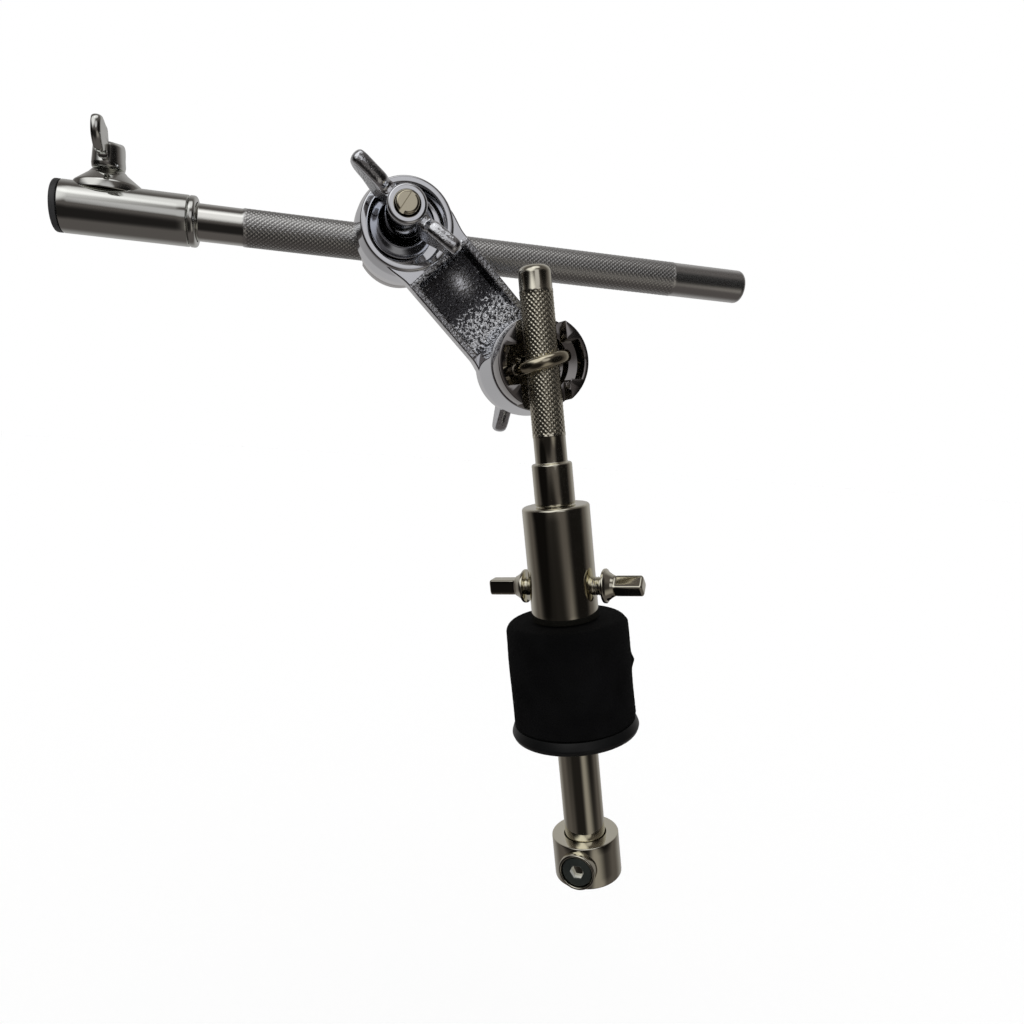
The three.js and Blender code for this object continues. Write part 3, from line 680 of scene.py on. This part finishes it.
def arm_shell():
    """Grid of the arm: rows run from barrel to barrel, columns go round its section.
    Round the section, the front and back faces are z across the width and y = half thickness less the bed."""
    flat = np.linspace(-1, 1, FLAT_COLS)
    half = ARM_T / 2
    q = np.linspace(0, math.pi / 2, EDGE_COLS)
    rise, fall = ARM_EDGE * np.sin(q), ARM_EDGE * np.cos(q)
    wide_flat, deep_flat = ARM_W / 2 - ARM_EDGE, half - ARM_EDGE
    wall = ARM_W / 2 * np.ones(EDGE_COLS)
    lat = np.concatenate([flat * wide_flat, wide_flat + rise, wall, wide_flat + fall,
                          -flat * wide_flat, -(wide_flat + rise), -wall, -(wide_flat + fall)])
    side = np.linspace(-deep_flat, deep_flat, EDGE_COLS + 2)[1:-1]
    face = half * np.ones(FLAT_COLS)
    dep = np.concatenate([-face, -(deep_flat + fall), side, deep_flat + rise,
                          face, deep_flat + fall, -side, -(deep_flat + rise)])
    t = np.linspace(0, 1, ARM_ROWS)[:, None]
    reach = np.sqrt(np.clip(ARM_INNER ** 2 - (lat * 1.1) ** 2, 0, None))
    s = reach + (ARM_L - 2 * reach) * t
    flare = 1.5 * (smoothstep(1 - (s - 5) / 9) + smoothstep(1 - (ARM_L - 5 - s) / 9))
    wide = lat * (1 + flare / (ARM_W / 2)) * (1 - DRAFT * (dep + half) / (2 * half))
    inner = ARM_W / 2 - RAIL
    across = smoothstep((inner - np.abs(lat)) / 0.9)
    front = bed_depth(s) * across * (dep < -half + 1e-6)
    back = bed_depth(ARM_L - s) * across * (dep > half - 1e-6)
    dome = DOME_H * np.exp(-((s - DOME_S) / 3.6) ** 2 - ((lat - DOME_LAT) / 2.6) ** 2)
    front = front - dome * (dep < -half + 1e-6)
    y = mid_y + dep + front - back
    up = np.cross(arm_run, Y)
    p = np.array([swing[0], 0, 0]) + s[..., None] * arm_run + wide[..., None] * up + y[..., None] * Y
    # the first mark is the cast skin, whose pits and painted shade darken the web: partial on the rails, none
    # on the low swelling, which stays bright, and none inside the barrels. The second says how many painted
    # highlight sparks: more on the climb, at the short wall and towards the rails
    slope = smoothstep((s - (ARM_L - 30)) / 10) + smoothstep((BED_FROM + 2.2 - s) / 1.2)
    rim = smoothstep((np.abs(lat) - inner + 2.2) / 1.4)
    near = smoothstep((s - 14.4) / 1.0) * smoothstep((ARM_L - 13.4 - s) / 1.0)
    rough = np.clip(near - 2.4 * dome, 0, 1)
    painted_sparks = np.clip(slope + 0.3 * rim, 0, 1)
    rough = rough * (1 - 0.6 * smoothstep((np.abs(lat) - inner) / 0.5))
    marks = [np.broadcast_to(v, s.shape).reshape(-1) for v in (rough, painted_sparks)]
    verts, faces = shell(p)
    turn_at = len(flat) + 3 * EDGE_COLS          # the first column of the back face
    last = turn_at + len(flat) - 1
    k = np.arange(len(flat) - 1)
    cap = np.stack([k, k + 1, last - k - 1, last - k], axis=-1).tolist()
    cap += [list(range(len(flat) - 1, turn_at + 1)), list(range(last, len(lat))) + [0]]
    far = (len(t) - 1) * len(lat)
    return (verts, faces + cap + [[far + v for v in q[::-1]] for q in cap]), marks


arm_part, arm_marks = arm_shell()
barrel_up = turn(refined(barrel_line, 1.5), up_at, -Y, X, 144, hollow=True)
barrel_low = turn(refined(barrel_line, 1.5), low_at, Y, X, 144, hollow=True)
clamp = build("clamp_casting", [arm_part, barrel_up, barrel_low], sharp=40)
plain_points = np.zeros(len(barrel_up[0]) + len(barrel_low[0]))
for kind, values in zip(("cast", "painted_sparks"), arm_marks):
    mark_points(clamp, kind, np.concatenate([values, plain_points]))
dress(clamp, shaded_casting, "clamp", "clamp_body")

# %% [markdown]
# ## Saddles and eye bolts
# A saddle is a round block with two grooves cut across its face, and a round pocket that the eye
# sinks into. Cutting is what booleans are for: the block and the cutters are made from arrays, the
# cut is applied, and a small bevel breaks the new edges.

# %% Saddles
SADDLE_R, SADDLE_T, GROOVE_D = 13.8, 16.0, 7.5
GROOVE_ROD, GROOVE_EYE, GROOVE_END_R, POCKET_R, POCKET_D = 16.0, 12.2, 13.1, 10.2, 13.8
saddle_line = rounded([
    (0, 0), (FACE_R, 0, 0.25), (CAP_R, CAP_T, 0.15), (SADDLE_R, CAP_T), (SADDLE_R, SADDLE_T, 0.4),
    (0, SADDLE_T)])


def block(centre, sizes, directions):
    """A box: its eight corners are the centre plus or minus half of each size along each direction."""
    c = np.array([[i, j, k] for i in (-1, 1) for j in (-1, 1) for k in (-1, 1)]) / 2
    v = centre + (c * sizes) @ np.array(directions)
    f = [[0, 1, 3, 2], [4, 6, 7, 5], [0, 4, 5, 1], [2, 3, 7, 6], [0, 2, 6, 4], [1, 5, 7, 3]]
    return v, f


def blind_groove(at, inward, groove, cross):
    """The eye's groove stops short of the rim: a slot with round ends, from arcs of one circle."""
    half = math.asin(GROOVE_EYE / 2 / GROOVE_END_R)
    t = np.linspace(-half, half, 13)
    t = np.concatenate([t, t + math.pi])
    ring = GROOVE_END_R * (np.cos(t)[:, None] * cross + np.sin(t)[:, None] * groove)
    rows = np.array([at + ring - inward * 2, at + ring + inward * (GROOVE_D + 0.01)])
    return shell(rows, poles=(at - inward * 2, at + inward * (GROOVE_D + 0.01)))


def apply_modifiers(obj):
    """Bakes the live modifiers into the mesh."""
    deps = bpy.context.evaluated_depsgraph_get()
    done = bpy.data.meshes.new_from_object(obj.evaluated_get(deps))
    obj.modifiers.clear()
    obj.data = done


def cut_by(obj, tools):
    """Takes each tool's solid away from the object, then deletes the tool."""
    for k, part in enumerate(tools):
        tool = build(obj.name + "_cutter_%d" % k, [part])
        mod = obj.modifiers.new("cut", "BOOLEAN")
        mod.operation = "DIFFERENCE"
        mod.solver = "EXACT"
        mod.object = tool
        apply_modifiers(obj)
        bpy.data.objects.remove(tool)


def saddle(name, at, inward, groove):
    """groove is the direction that the held rod runs in; inward points from the face into the barrel."""
    cross = np.cross(inward, groove)
    obj = build(name, [turn(refined(saddle_line, 4), at, inward, groove, 128)])
    axes = [groove, cross, inward]
    cut_by(obj, [
        block(at, np.array([60, GROOVE_ROD, GROOVE_D * 2]), axes),
        blind_groove(at, inward, groove, cross),
        turn(np.array([(0, -2), (POCKET_R, -2), (POCKET_R, POCKET_D), (0, POCKET_D)], dtype=float),
             at, inward, groove, 96),
        turn(np.array([(0, -2), (STEM_R + 0.8, -2), (STEM_R + 0.8, 30), (0, 30)], dtype=float),
             at, inward, groove, 64)])
    bev = obj.modifiers.new("edges", "BEVEL")
    bev.width = 0.25 * MM
    bev.segments = 2
    bev.limit_method = "ANGLE"
    bev.angle_limit = rad(50)
    apply_modifiers(obj)
    obj.data.shade_smooth()
    obj.data.set_sharp_from_angle(angle=rad(40))
    return obj


upper_saddle = saddle("upper_saddle_block", up_at, -Y, X)
dress(upper_saddle, saddle_plate, "upper_holder", "upper_saddle")
lower_saddle = saddle("lower_saddle_block", low_at, Y, DOWN)
dress(lower_saddle, saddle_plate, "lower_holder", "lower_saddle")

# %% Eye bolts
EYE_IN, EYE_OUT, EYE_T, EYE_SKEW = 7.0, 9.6, 4.0, 11.0
STEM_END = nut_seat + NUT_H + 1.8
SLOT_TURN, SLOT_W, SLOT_D = 60, 1.5, 2.6
HANG_R = 5.25                                    # the hanging rod over its knurl


def eye_bolt(name, at, inward, through, depth, rod_r):
    """An eye of oval section round the rod, and a stem that comes out past the nut, slotted."""
    sink = depth + (EYE_IN - rod_r - GAP)
    root = sink + EYE_IN + 0.7
    through = frame_of(inward, through)[0]
    q = np.linspace(0, 2 * math.pi, 32, endpoint=False)
    ring_mid, ring_half = (EYE_IN + EYE_OUT) / 2, (EYE_OUT - EYE_IN) / 2
    ring_line = np.stack([ring_mid + ring_half * np.cos(q), EYE_T / 2 * np.sin(q)], axis=1)
    eye = turn(ring_line, at + inward * sink, through, inward, 96, hollow=True)
    stem_line = rounded([
        (0, root), (STEM_R, root, 0.3), (STEM_R, STEM_END, 0.8), (0, STEM_END)], steps=7)
    obj = build(name, [turn(refined(stem_line, 4), at, inward, through, 64)])
    turned = rad(SLOT_TURN)
    slot_dir = unit(through * math.cos(turned) + np.cross(inward, through) * math.sin(turned))
    axes = [slot_dir, np.cross(inward, slot_dir), inward]
    cut_by(obj, [block(at + inward * STEM_END, np.array([12, SLOT_W, SLOT_D]), axes)])
    stem_v = np.empty(len(obj.data.vertices) * 3)
    obj.data.vertices.foreach_get("co", stem_v)
    stem_f = [list(p.vertices) for p in obj.data.polygons]
    bpy.data.objects.remove(obj)
    eye_v, eye_f = joined([eye])
    verts = np.vstack([stem_v.reshape(-1, 3) * 1000.0, eye_v])
    faces = stem_f + [[k + len(stem_v) // 3 for k in q] for q in eye_f]
    out = finish_mesh(name, verts, faces)
    print(name, len(faces), "faces")
    return out


upper_eye = eye_bolt("upper_eye_bolt_bright", stud_at, stud_axis, X, abs(face_up), ROD_CREST)
dress(upper_eye, bolt_plate, "upper_holder", "upper_eye_bolt")
skewed = unit(DOWN * math.cos(rad(EYE_SKEW)) + ACROSS * math.sin(rad(EYE_SKEW)))
lower_eye = eye_bolt("lower_eye_bolt_bright", low_at, Y, skewed, abs(hang_y - face_low), HANG_R)
dress(lower_eye, bolt_plate, "lower_holder", "lower_eye_bolt")

# %% Washers
washer_line = rounded([
    (STEM_R + 0.4, 0, 0.2), (WASHER_R, 0, 0.35), (WASHER_R, WASHER_T, 0.35),
    (STEM_R + 0.4, WASHER_T, 0.2)], closed=True)
washer_up_at = stud_at + stud_axis * washer_seat
washer_up_at[1] = face_up - washer_seat
washer_low_at = low_at + Y * washer_seat
for name, at, inward, body, node in (("front_washer", washer_up_at, -Y, "upper_holder", "upper_washer"),
                                     ("rear_washer", washer_low_at, Y, "clamp", "lower_washer")):
    w = build(name, [turn(washer_line, at, inward, X, 72, hollow=True)])
    dress(w, nickel, body, node)

# %% [markdown]
# ## The hanging holder
# Rod, key sleeve, lower rod and foot collar are all turned, on one axis. Heights are counted down
# from where the clamp grips the rod. The knurl here is coarser than the boom's and its diamonds are
# crossed by hand-visible grooves, so it is real geometry too.

# %% Holder rod
HANG_SMOOTH, STEP_R, HANG_TO = 5.1, 6.4, 58
HANG_TOP, KNURL_A, KNURL_B, STEP_AT = -29.2, -21.6, 22.8, 31.4
SLEEVE_AT, SLEEVE_TO, SLEEVE_R, LOW_R = 44.7, 81.6, 10.8, 6.7
ROD_COUNT, ROD_PITCH, ROD_CUT, ROD_STEPS = 20, 1.65, 0.32, 8

dome_line = rounded([(0, HANG_TOP), (HANG_SMOOTH, HANG_TOP, 3.2), (HANG_SMOOTH, KNURL_A - 0.4)], steps=12)
n_knurl = int((KNURL_B - KNURL_A) / ROD_PITCH * ROD_STEPS) + 1
grip_line = np.stack([np.full(n_knurl, HANG_R), np.linspace(KNURL_A, KNURL_B, n_knurl)], axis=1)
step_line = rounded([
    (HANG_SMOOTH, KNURL_B + 0.4), (HANG_SMOOTH, STEP_AT - 0.3, 0.3), (STEP_R, STEP_AT - 0.1, 0.9),
    (STEP_R, SLEEVE_AT - GAP, 0.15), (HANG_SMOOTH, SLEEVE_AT - GAP),
    (HANG_SMOOTH, HANG_TO, 0.4), (0, HANG_TO)], steps=7)
rod_cut = knurl(ROD_COUNT, ROD_PITCH, ROD_CUT, KNURL_A, KNURL_B, 1.0)
holder = knurled_rod("holder_rod_knurled", np.vstack([dome_line, grip_line, step_line]), hang, DOWN, Y,
                     ROD_COUNT * ROD_STEPS, rod_cut, HANG_R, ROD_CUT, (KNURL_A, KNURL_B, 0))
dress(holder, rod_steel, "hanger", "holder_rod")

# %% Key sleeve and lower rod
sleeve_line = rounded([
    (HANG_SMOOTH + GAP, SLEEVE_AT, 0.2), (SLEEVE_R, SLEEVE_AT, 0.9), (SLEEVE_R, SLEEVE_TO, 0.3),
    (LOW_R + GAP, SLEEVE_TO, 0.2), (LOW_R + GAP, 58.3), (HANG_SMOOTH + GAP, 58.3)], closed=True, steps=7)
sleeve = build("key_sleeve_bright", [turn(refined(sleeve_line, 3), hang, DOWN, Y, 144, hollow=True)])
dress(sleeve, nickel, "hanger", "key_sleeve")

LOW_FROM, FOOT_AT, FOOT_TO, FOOT_R = 59.0, 155.8, 170.0, 11.1
low_line = rounded([(0, LOW_FROM), (LOW_R, LOW_FROM, 0.6), (LOW_R, FOOT_TO - 0.6, 0.6), (0, FOOT_TO - 0.6)])
lower_rod = build("lower_rod_bright", [turn(refined(low_line, 3), hang, DOWN, Y, 128)])
dress(lower_rod, nickel, "lower_stem", "lower_rod")

# %% [markdown]
# ## Key screws
# Square-headed screws that a drum key turns. The turned part ends in a cone, and the head grows out
# of it: its cross-section is a superellipse, |x|^n + |y|^n = a^n, with n going from 2, a circle, to
# 7, a square with soft corners. One formula then gives the round root, the flats and the end.

# %% Screws with square heads


def superellipse(a, n, angles):
    """Radius of |x|^n + |y|^n = a^n in each direction."""
    c, s = np.abs(np.cos(angles)), np.abs(np.sin(angles))
    return a / (c ** n + s ** n) ** (1 / n)


def square_head(at, axis, side, heights, sizes, powers, sides=96):
    """Rows of superellipses along the axis, shut at both ends."""
    u, v, w = frame_of(axis, side)
    a = np.linspace(0, 2 * math.pi, sides, endpoint=False)
    r = np.array([superellipse(s, n, a) for s, n in zip(sizes, powers)])
    h = np.asarray(heights, dtype=float)[:, None] * np.ones_like(r)
    p = at + (r * np.cos(a))[..., None] * u + (r * np.sin(a))[..., None] * v + h[..., None] * w
    return shell(p, poles=(at + heights[0] * w, at + heights[-1] * w))


def thread(start, end, pitch, depth):
    """A screw thread: the radius falls in a V once every pitch, shifted by the angle round."""
    def cut(a, h):
        t = h / pitch - a / (2 * math.pi)
        room = np.clip(np.minimum(h - start, end - h) / pitch, 0, 1)
        return -depth * triangle(t) * room
    return cut


HEAD, HEAD_L = 2.5, 10.2                         # half the square's width, and its length
OUT_RIGHT, OUT_LEFT, ROLL_RIGHT, ROLL_LEFT = 13.8, 12.2, 40, 0


def key_screw(at, axis, out, key_roll):
    """Thread, flange and cone are turned; the head is superellipses. out is where the flange starts."""
    roll = -DOWN * math.cos(rad(key_roll)) + np.cross(axis, -DOWN) * math.sin(rad(key_roll))
    line = np.vstack([
        np.array([(0, 7.0), (2.5, 7.0)]),
        np.stack([np.full(60, 3.0), np.linspace(7.5, out - 0.2, 60)], axis=1),
        rounded([(3.0, out), (5.45, out + 0.1, 0.2), (5.5, out + 0.9, 0.3), (4.7, out + 1.4, 0.5),
                 (3.7, out + 2.8, 0.6), (3.3, out + 3.6), (0, out + 3.6)])])
    end = np.linspace(0, math.pi / 2, 6)
    heights = out + np.concatenate([[1.8, 2.2, 2.9, 3.7], np.linspace(4.5, 1.6 + HEAD_L, 6),
                                    1.8 + HEAD_L + 0.8 * np.sin(end)])
    sizes = np.concatenate([[3.4, 3.2, 2.95, HEAD], np.full(6, HEAD), HEAD - 0.9 * (1 - np.cos(end))])
    powers = np.concatenate([[2, 2.4, 4, 7], np.full(6, 9.0), np.linspace(9, 5, 6)])
    return [turn(line, at, axis, Z, 72, wobble=thread(7.6, out - 0.2, 0.8, 0.28)),
            square_head(at, axis, roll, heights, sizes, powers)]


for name, body, node, which, out, key_roll in (
        ("key_screw_right_bright", "key_right", "key_screw_right", "key_right_turn", OUT_RIGHT, ROLL_RIGHT),
        ("key_screw_left_bright", "key_left", "key_screw_left", "key_left_turn", OUT_LEFT, ROLL_LEFT)):
    parts = key_screw(mm(joint[which]["pos_m"]), unit(joint[which]["axis"]), out, key_roll)
    screw = build(name, parts, sharp=50)
    dress(screw, nickel, body, node)

# %% [markdown]
# ## Felt roll and its rubber foot
# The felt is a firm roll, cut square at the top with a worn round edge. It has a lengthwise seam
# where the strip meets itself, and its surface is never quite even. A cloth simulation has nothing to
# do on such a firm pad, so its softness is in the formula: slow waves for the squeeze of the hand
# that rolled it, fine ones for the nap, and a small lump at the seam.

# %% Felt
PAD_R, PAD_AT, PAD_TO, CORE_R = 19.7, 81.9, 115.4, 8.7
LIP_R, CUP_TO, LIP_AT = 20.9, 119.9, 118.3
SEAM = rad(17)
WAVE, RIPPLE, NAP, RIDGE, SEAM_DIP = 0.12, 0.06, 0.010, 0.25, 0.12
LUMP, LUMP_AT = 0.9, 97.3
rng = np.random.default_rng(7)
waves = rng.uniform(0, 2 * math.pi, size=(14, 2))


def felt_wave(a, h):
    """Slow waves, a fine nap of ten sines, and a seam ridge with one lump on it."""
    slow = WAVE * np.sin(2 * a + 0.10 * h + waves[0, 0]) * np.sin(0.16 * h + waves[0, 1])
    slow = slow + RIPPLE * np.sin(5 * a - 0.2 * h + waves[1, 0])
    nap = sum(np.sin((9 + 7 * k) * a + (0.9 + 0.45 * k) * h + waves[k, 0]) for k in range(2, 12)) * NAP
    d = (a - SEAM + math.pi) % (2 * math.pi) - math.pi
    ridge = RIDGE * np.exp(-(d / 0.035) ** 2) - SEAM_DIP * np.exp(-((d - 0.08) / 0.03) ** 2)
    lump = LUMP * np.exp(-(d / 0.09) ** 2 - ((h - LUMP_AT) / 1.8) ** 2)
    return slow + nap + ridge + lump


def felt_wobble(a, h):
    """The outer skin moves by the wave; the bore, which touches the core, stays."""
    return felt_wave(a, h) * felt_outer


felt_corners = [(CORE_R, PAD_AT), (PAD_R - 0.1, PAD_AT, 2.7), (PAD_R + 0.1, PAD_TO, 0.4), (CORE_R, PAD_TO)]
felt_line = refined(rounded(felt_corners, closed=True, steps=9), 0.6)
felt_outer = np.clip((felt_line[:, :1] - CORE_R - 3) / 6, 0, 1)
felt_shell = turn(felt_line, hang, DOWN, ACROSS, 320, hollow=True, wobble=felt_wobble)
pad = build("felt_roll_soft", [felt_shell], sharp=60)
dress(pad, felt, "pad", "felt_roll")

cup_line = rounded([
    (CORE_R, PAD_TO + GAP), (PAD_R + 0.2, PAD_TO + GAP, 0.2), (PAD_R + 0.7, 116.9, 1), (LIP_R, LIP_AT, 0.9),
    (LIP_R - 0.7, CUP_TO, 0.8), (18.4, CUP_TO, 0.4), (17.9, CUP_TO - 1, 0.4), (11, CUP_TO - 1, 0.4),
    (10.4, CUP_TO, 0.3), (CORE_R, CUP_TO)], closed=True, steps=6)
cup = build("lip_cup_rubber", [turn(refined(cup_line, 1.0), hang, DOWN, ACROSS, 144, hollow=True)])
dress(cup, rubber, "pad", "lip_cup")
core_line = rounded([
    (LOW_R + GAP, PAD_AT, 0.2), (CORE_R - GAP, PAD_AT, 0.2), (CORE_R - GAP, CUP_TO, 0.3),
    (LOW_R + GAP, CUP_TO, 0.3)], closed=True)
core = build("core_sleeve_nylon", [turn(core_line, hang, DOWN, ACROSS, 96, hollow=True)])
dress(core, nylon, "pad", "core_sleeve")

# %% Foot collar and set screw
set_axis = unit(joint["set_screw_turn"]["axis"])
set_at = mm(joint["collar_turn"]["pos_m"])
SET_R, SET_BOSS, BOSS_FROM, BOSS_END = 4.9, 6.1, 9.6, 13.0
SET_FROM, SET_END, HEX_R, HEX_FLOOR = 7.0, 12.6, 2.0, 8.9
collar_line = rounded([
    (LOW_R + GAP, FOOT_AT, 0.25), (FOOT_R, FOOT_AT, 0.4), (FOOT_R, FOOT_TO, 0.5),
    (LOW_R + GAP, FOOT_TO, 0.25)], closed=True)
boss_ring = rounded([
    (SET_R + GAP, BOSS_FROM), (SET_BOSS, BOSS_FROM), (SET_BOSS, BOSS_END, 0.5),
    (SET_R + GAP, BOSS_END, 0.3)], closed=True)
collar = build("foot_collar_bright", [
    turn(refined(collar_line, 3), hang, DOWN, set_axis, 144, hollow=True),
    turn(boss_ring, set_at, set_axis, DOWN, 96, hollow=True)])
dress(collar, nickel, "foot", "foot_collar")


def set_screw_shell():
    """A turned screw whose end is sunk to a hexagon: inside the socket the radius is a hexagon's."""
    u, v, w = frame_of(set_axis, DOWN)
    a = np.linspace(0, 2 * math.pi, 96, endpoint=False)
    around = np.ones_like(a)
    k = math.pi / 3
    hexagon = HEX_R / np.cos((a + k / 2) % k - k / 2)
    rows = [(0.2 * around, SET_FROM), (4.2 * around, SET_FROM), (SET_R * around, 7.8), (SET_R * around, 12.1),
            ((SET_R - 0.15) * around, 12.45), ((SET_R - 0.5) * around, SET_END), (hexagon + 0.35, SET_END),
            (hexagon + 0.1, 12.45), (hexagon, 12.2), (hexagon, 9.4), (hexagon * 0.5, 9.1),
            (hexagon * 0.1, HEX_FLOOR)]
    r = np.array([q[0] for q in rows])
    h = np.array([q[1] for q in rows])[:, None] * around
    p = set_at + (r * np.cos(a))[..., None] * u + (r * np.sin(a))[..., None] * v + h[..., None] * w
    return shell(p, poles=(set_at + SET_FROM * w, set_at + HEX_FLOOR * w))


set_screw = build("set_screw_black", [set_screw_shell()], sharp=30)
mark_points(set_screw, "worn", np.append(np.repeat(np.arange(12) > 7, 96), [0, 1]))
dress(set_screw, oxide, "foot_screw", "set_screw")

# %% [markdown]
# ## Camera
# The camera stands low, to the left of the hanging rod, and looks slightly down. Its three
# directions are written as a matrix, because that is exact, while three rotation angles would have
# to be worked out first.

# %% Camera
CAM_AT = np.array([86.9, -291.8, -63.8])
CAM_FORWARD = unit([0.2363, 0.9668, -0.0973])
CAM_RIGHT = np.array([0.9708, -0.2306, 0.0664])
LENS = 27.8
cam_data = bpy.data.cameras.new("view")
cam_data.sensor_width = 36.0
cam_data.lens = LENS
cam_data.clip_start = 0.01
camera = bpy.data.objects.new("view", cam_data)
bpy.context.collection.objects.link(camera)
cam_right = unit(CAM_RIGHT - np.dot(CAM_RIGHT, CAM_FORWARD) * CAM_FORWARD)
cam_up = np.cross(cam_right, CAM_FORWARD)
camera.matrix_world = Matrix(np.vstack([
    np.column_stack([cam_right, cam_up, -CAM_FORWARD, CAM_AT * MM]), [0, 0, 0, 1]]).tolist())
bpy.context.scene.camera = camera
print("camera with a", LENS, "mm lens")

# %% [markdown]
# ## The studio that the metal mirrors
# Chrome has no look of its own: it shows the studio. A studio lights it with a few large soft
# boxes, and stands black flags between them, so that the metal gets clear pale and dark bands. Five
# soft lights and three flags do that here, each a round patch with a soft edge. They are part of the
# world, so they have no place where they could get in the way, and only mirror rays see them. Matt
# things and the camera get plain white from everywhere, which is the soft studio light.

# %% World
# Each patch: degrees round the horizon (0 in front, 90 on the right), degrees up, degrees out to which
# it is full and at which it has faded, and its light or, for a flag, the share that it takes away.
SOFT_LIGHTS = {
    "pale wall behind": (180, 10, 25, 80, (0.30, 0.30, 0.30)),
    "large box, high left": (-35, 33, 12, 36, (0.80, 0.80, 0.80)),
    "box overhead": (0, 66, 8, 26, (0.75, 0.75, 0.75)),
    "strip beside the camera": (12, 18, 8, 19, (0.42, 0.42, 0.43)),
    "glow off the floor": (36, -34, 8, 28, (0.18, 0.17, 0.15)),
}
FLAGS = {
    "left": (-62, -6, 18, 40, 0.95),
    "right": (62, 5, 18, 42, 0.92),
    "low": (-15, -32, 14, 36, 0.85),
}
STUDIO_WALLS = (0.10, 0.09, 0.085)

world = bpy.data.worlds.new("studio")
world.use_nodes = True
bpy.context.scene.world = world
wn, wl = world.node_tree.nodes, world.node_tree.links
look = wn.new("ShaderNodeTexCoord").outputs["Generated"]
front_h = unit([-CAM_FORWARD[0], -CAM_FORWARD[1], 0])
right_h = np.array([-front_h[1], front_h[0], 0])


def patch(around, up, full, faded):
    """1 inside a cone about a direction, 0 outside a wider one, and a soft step between."""
    level = math.cos(rad(around)) * front_h + math.sin(rad(around)) * right_h
    near = wn.new("ShaderNodeVectorMath")
    near.operation = "DOT_PRODUCT"
    near.inputs[1].default_value = math.cos(rad(up)) * level + math.sin(rad(up)) * Z
    wl.new(look, near.inputs[0])
    soft = wn.new("ShaderNodeMapRange")
    soft.interpolation_type = "SMOOTHSTEP"
    soft.inputs["From Min"].default_value = math.cos(rad(faded))
    soft.inputs["From Max"].default_value = math.cos(rad(full))
    wl.new(near.outputs["Value"], soft.inputs["Value"])
    return soft.outputs["Result"]


def combine(kind, *values):
    """A vector math node of the given kind; each value is a fixed colour or another node's output."""
    n = wn.new("ShaderNodeVectorMath")
    n.operation = kind
    for k, v in enumerate(values):
        if isinstance(v, tuple):
            n.inputs[k].default_value = v
        else:
            wl.new(v, n.inputs[k])
    return n.outputs["Vector"]


studio_light = STUDIO_WALLS
for *place, tone in SOFT_LIGHTS.values():
    studio_light = combine("MULTIPLY_ADD", patch(*place), tone, studio_light)
for *place, taken in FLAGS.values():
    left_over = combine("MULTIPLY_ADD", patch(*place), (-taken,) * 3, (1.0, 1.0, 1.0))
    studio_light = combine("MULTIPLY", left_over, studio_light)
mix = wn.new("ShaderNodeMix")
mix.data_type = "RGBA"
mix.inputs["A"].default_value = (1, 1, 1, 1)
wl.new(wn.new("ShaderNodeLightPath").outputs["Is Glossy Ray"], mix.inputs["Factor"])
wl.new(studio_light, mix.inputs["B"])
wl.new(mix.outputs["Result"], wn["Background"].inputs["Color"])
print("studio with", len(SOFT_LIGHTS), "soft lights and", len(FLAGS), "flags")

# %% [markdown]
# ## Floor
# A plain pale disc some way under the foot. It is hidden from mirror rays, since the studio's lights
# already give the metal a floor to mirror, and a second one would wash it out.

# %% Floor
FLOOR_Z = -0.36
FLOOR_R = 8.0


def ground():
    """A flat disc: rings of growing radius about one middle point."""
    r = np.linspace(0.5, FLOOR_R, 12)
    a = np.linspace(0, 2 * math.pi, 96, endpoint=False)
    p = np.stack([r[:, None] * np.cos(a), r[:, None] * np.sin(a), np.full((12, 96), FLOOR_Z)], axis=-1)
    return shell(p * 1000.0, poles=(np.array([0, 0, FLOOR_Z * 1000.0]), None))


floor = finish_mesh("pale_floor", *ground())
m, nodes, links, bsdf = new_material("pale_paint")
bsdf.inputs["Base Color"].default_value = (1, 1, 1, 1)
bsdf.inputs["Roughness"].default_value = 0.9
bsdf.inputs["Specular IOR Level"].default_value = 0.0
floor.data.materials.append(m)
floor.visible_glossy = False
bpy.context.scene.view_settings.view_transform = "Standard"
bpy.context.scene.view_settings.look = "None"
print("floor", FLOOR_R, "m wide from its middle, at", FLOOR_Z, "m")
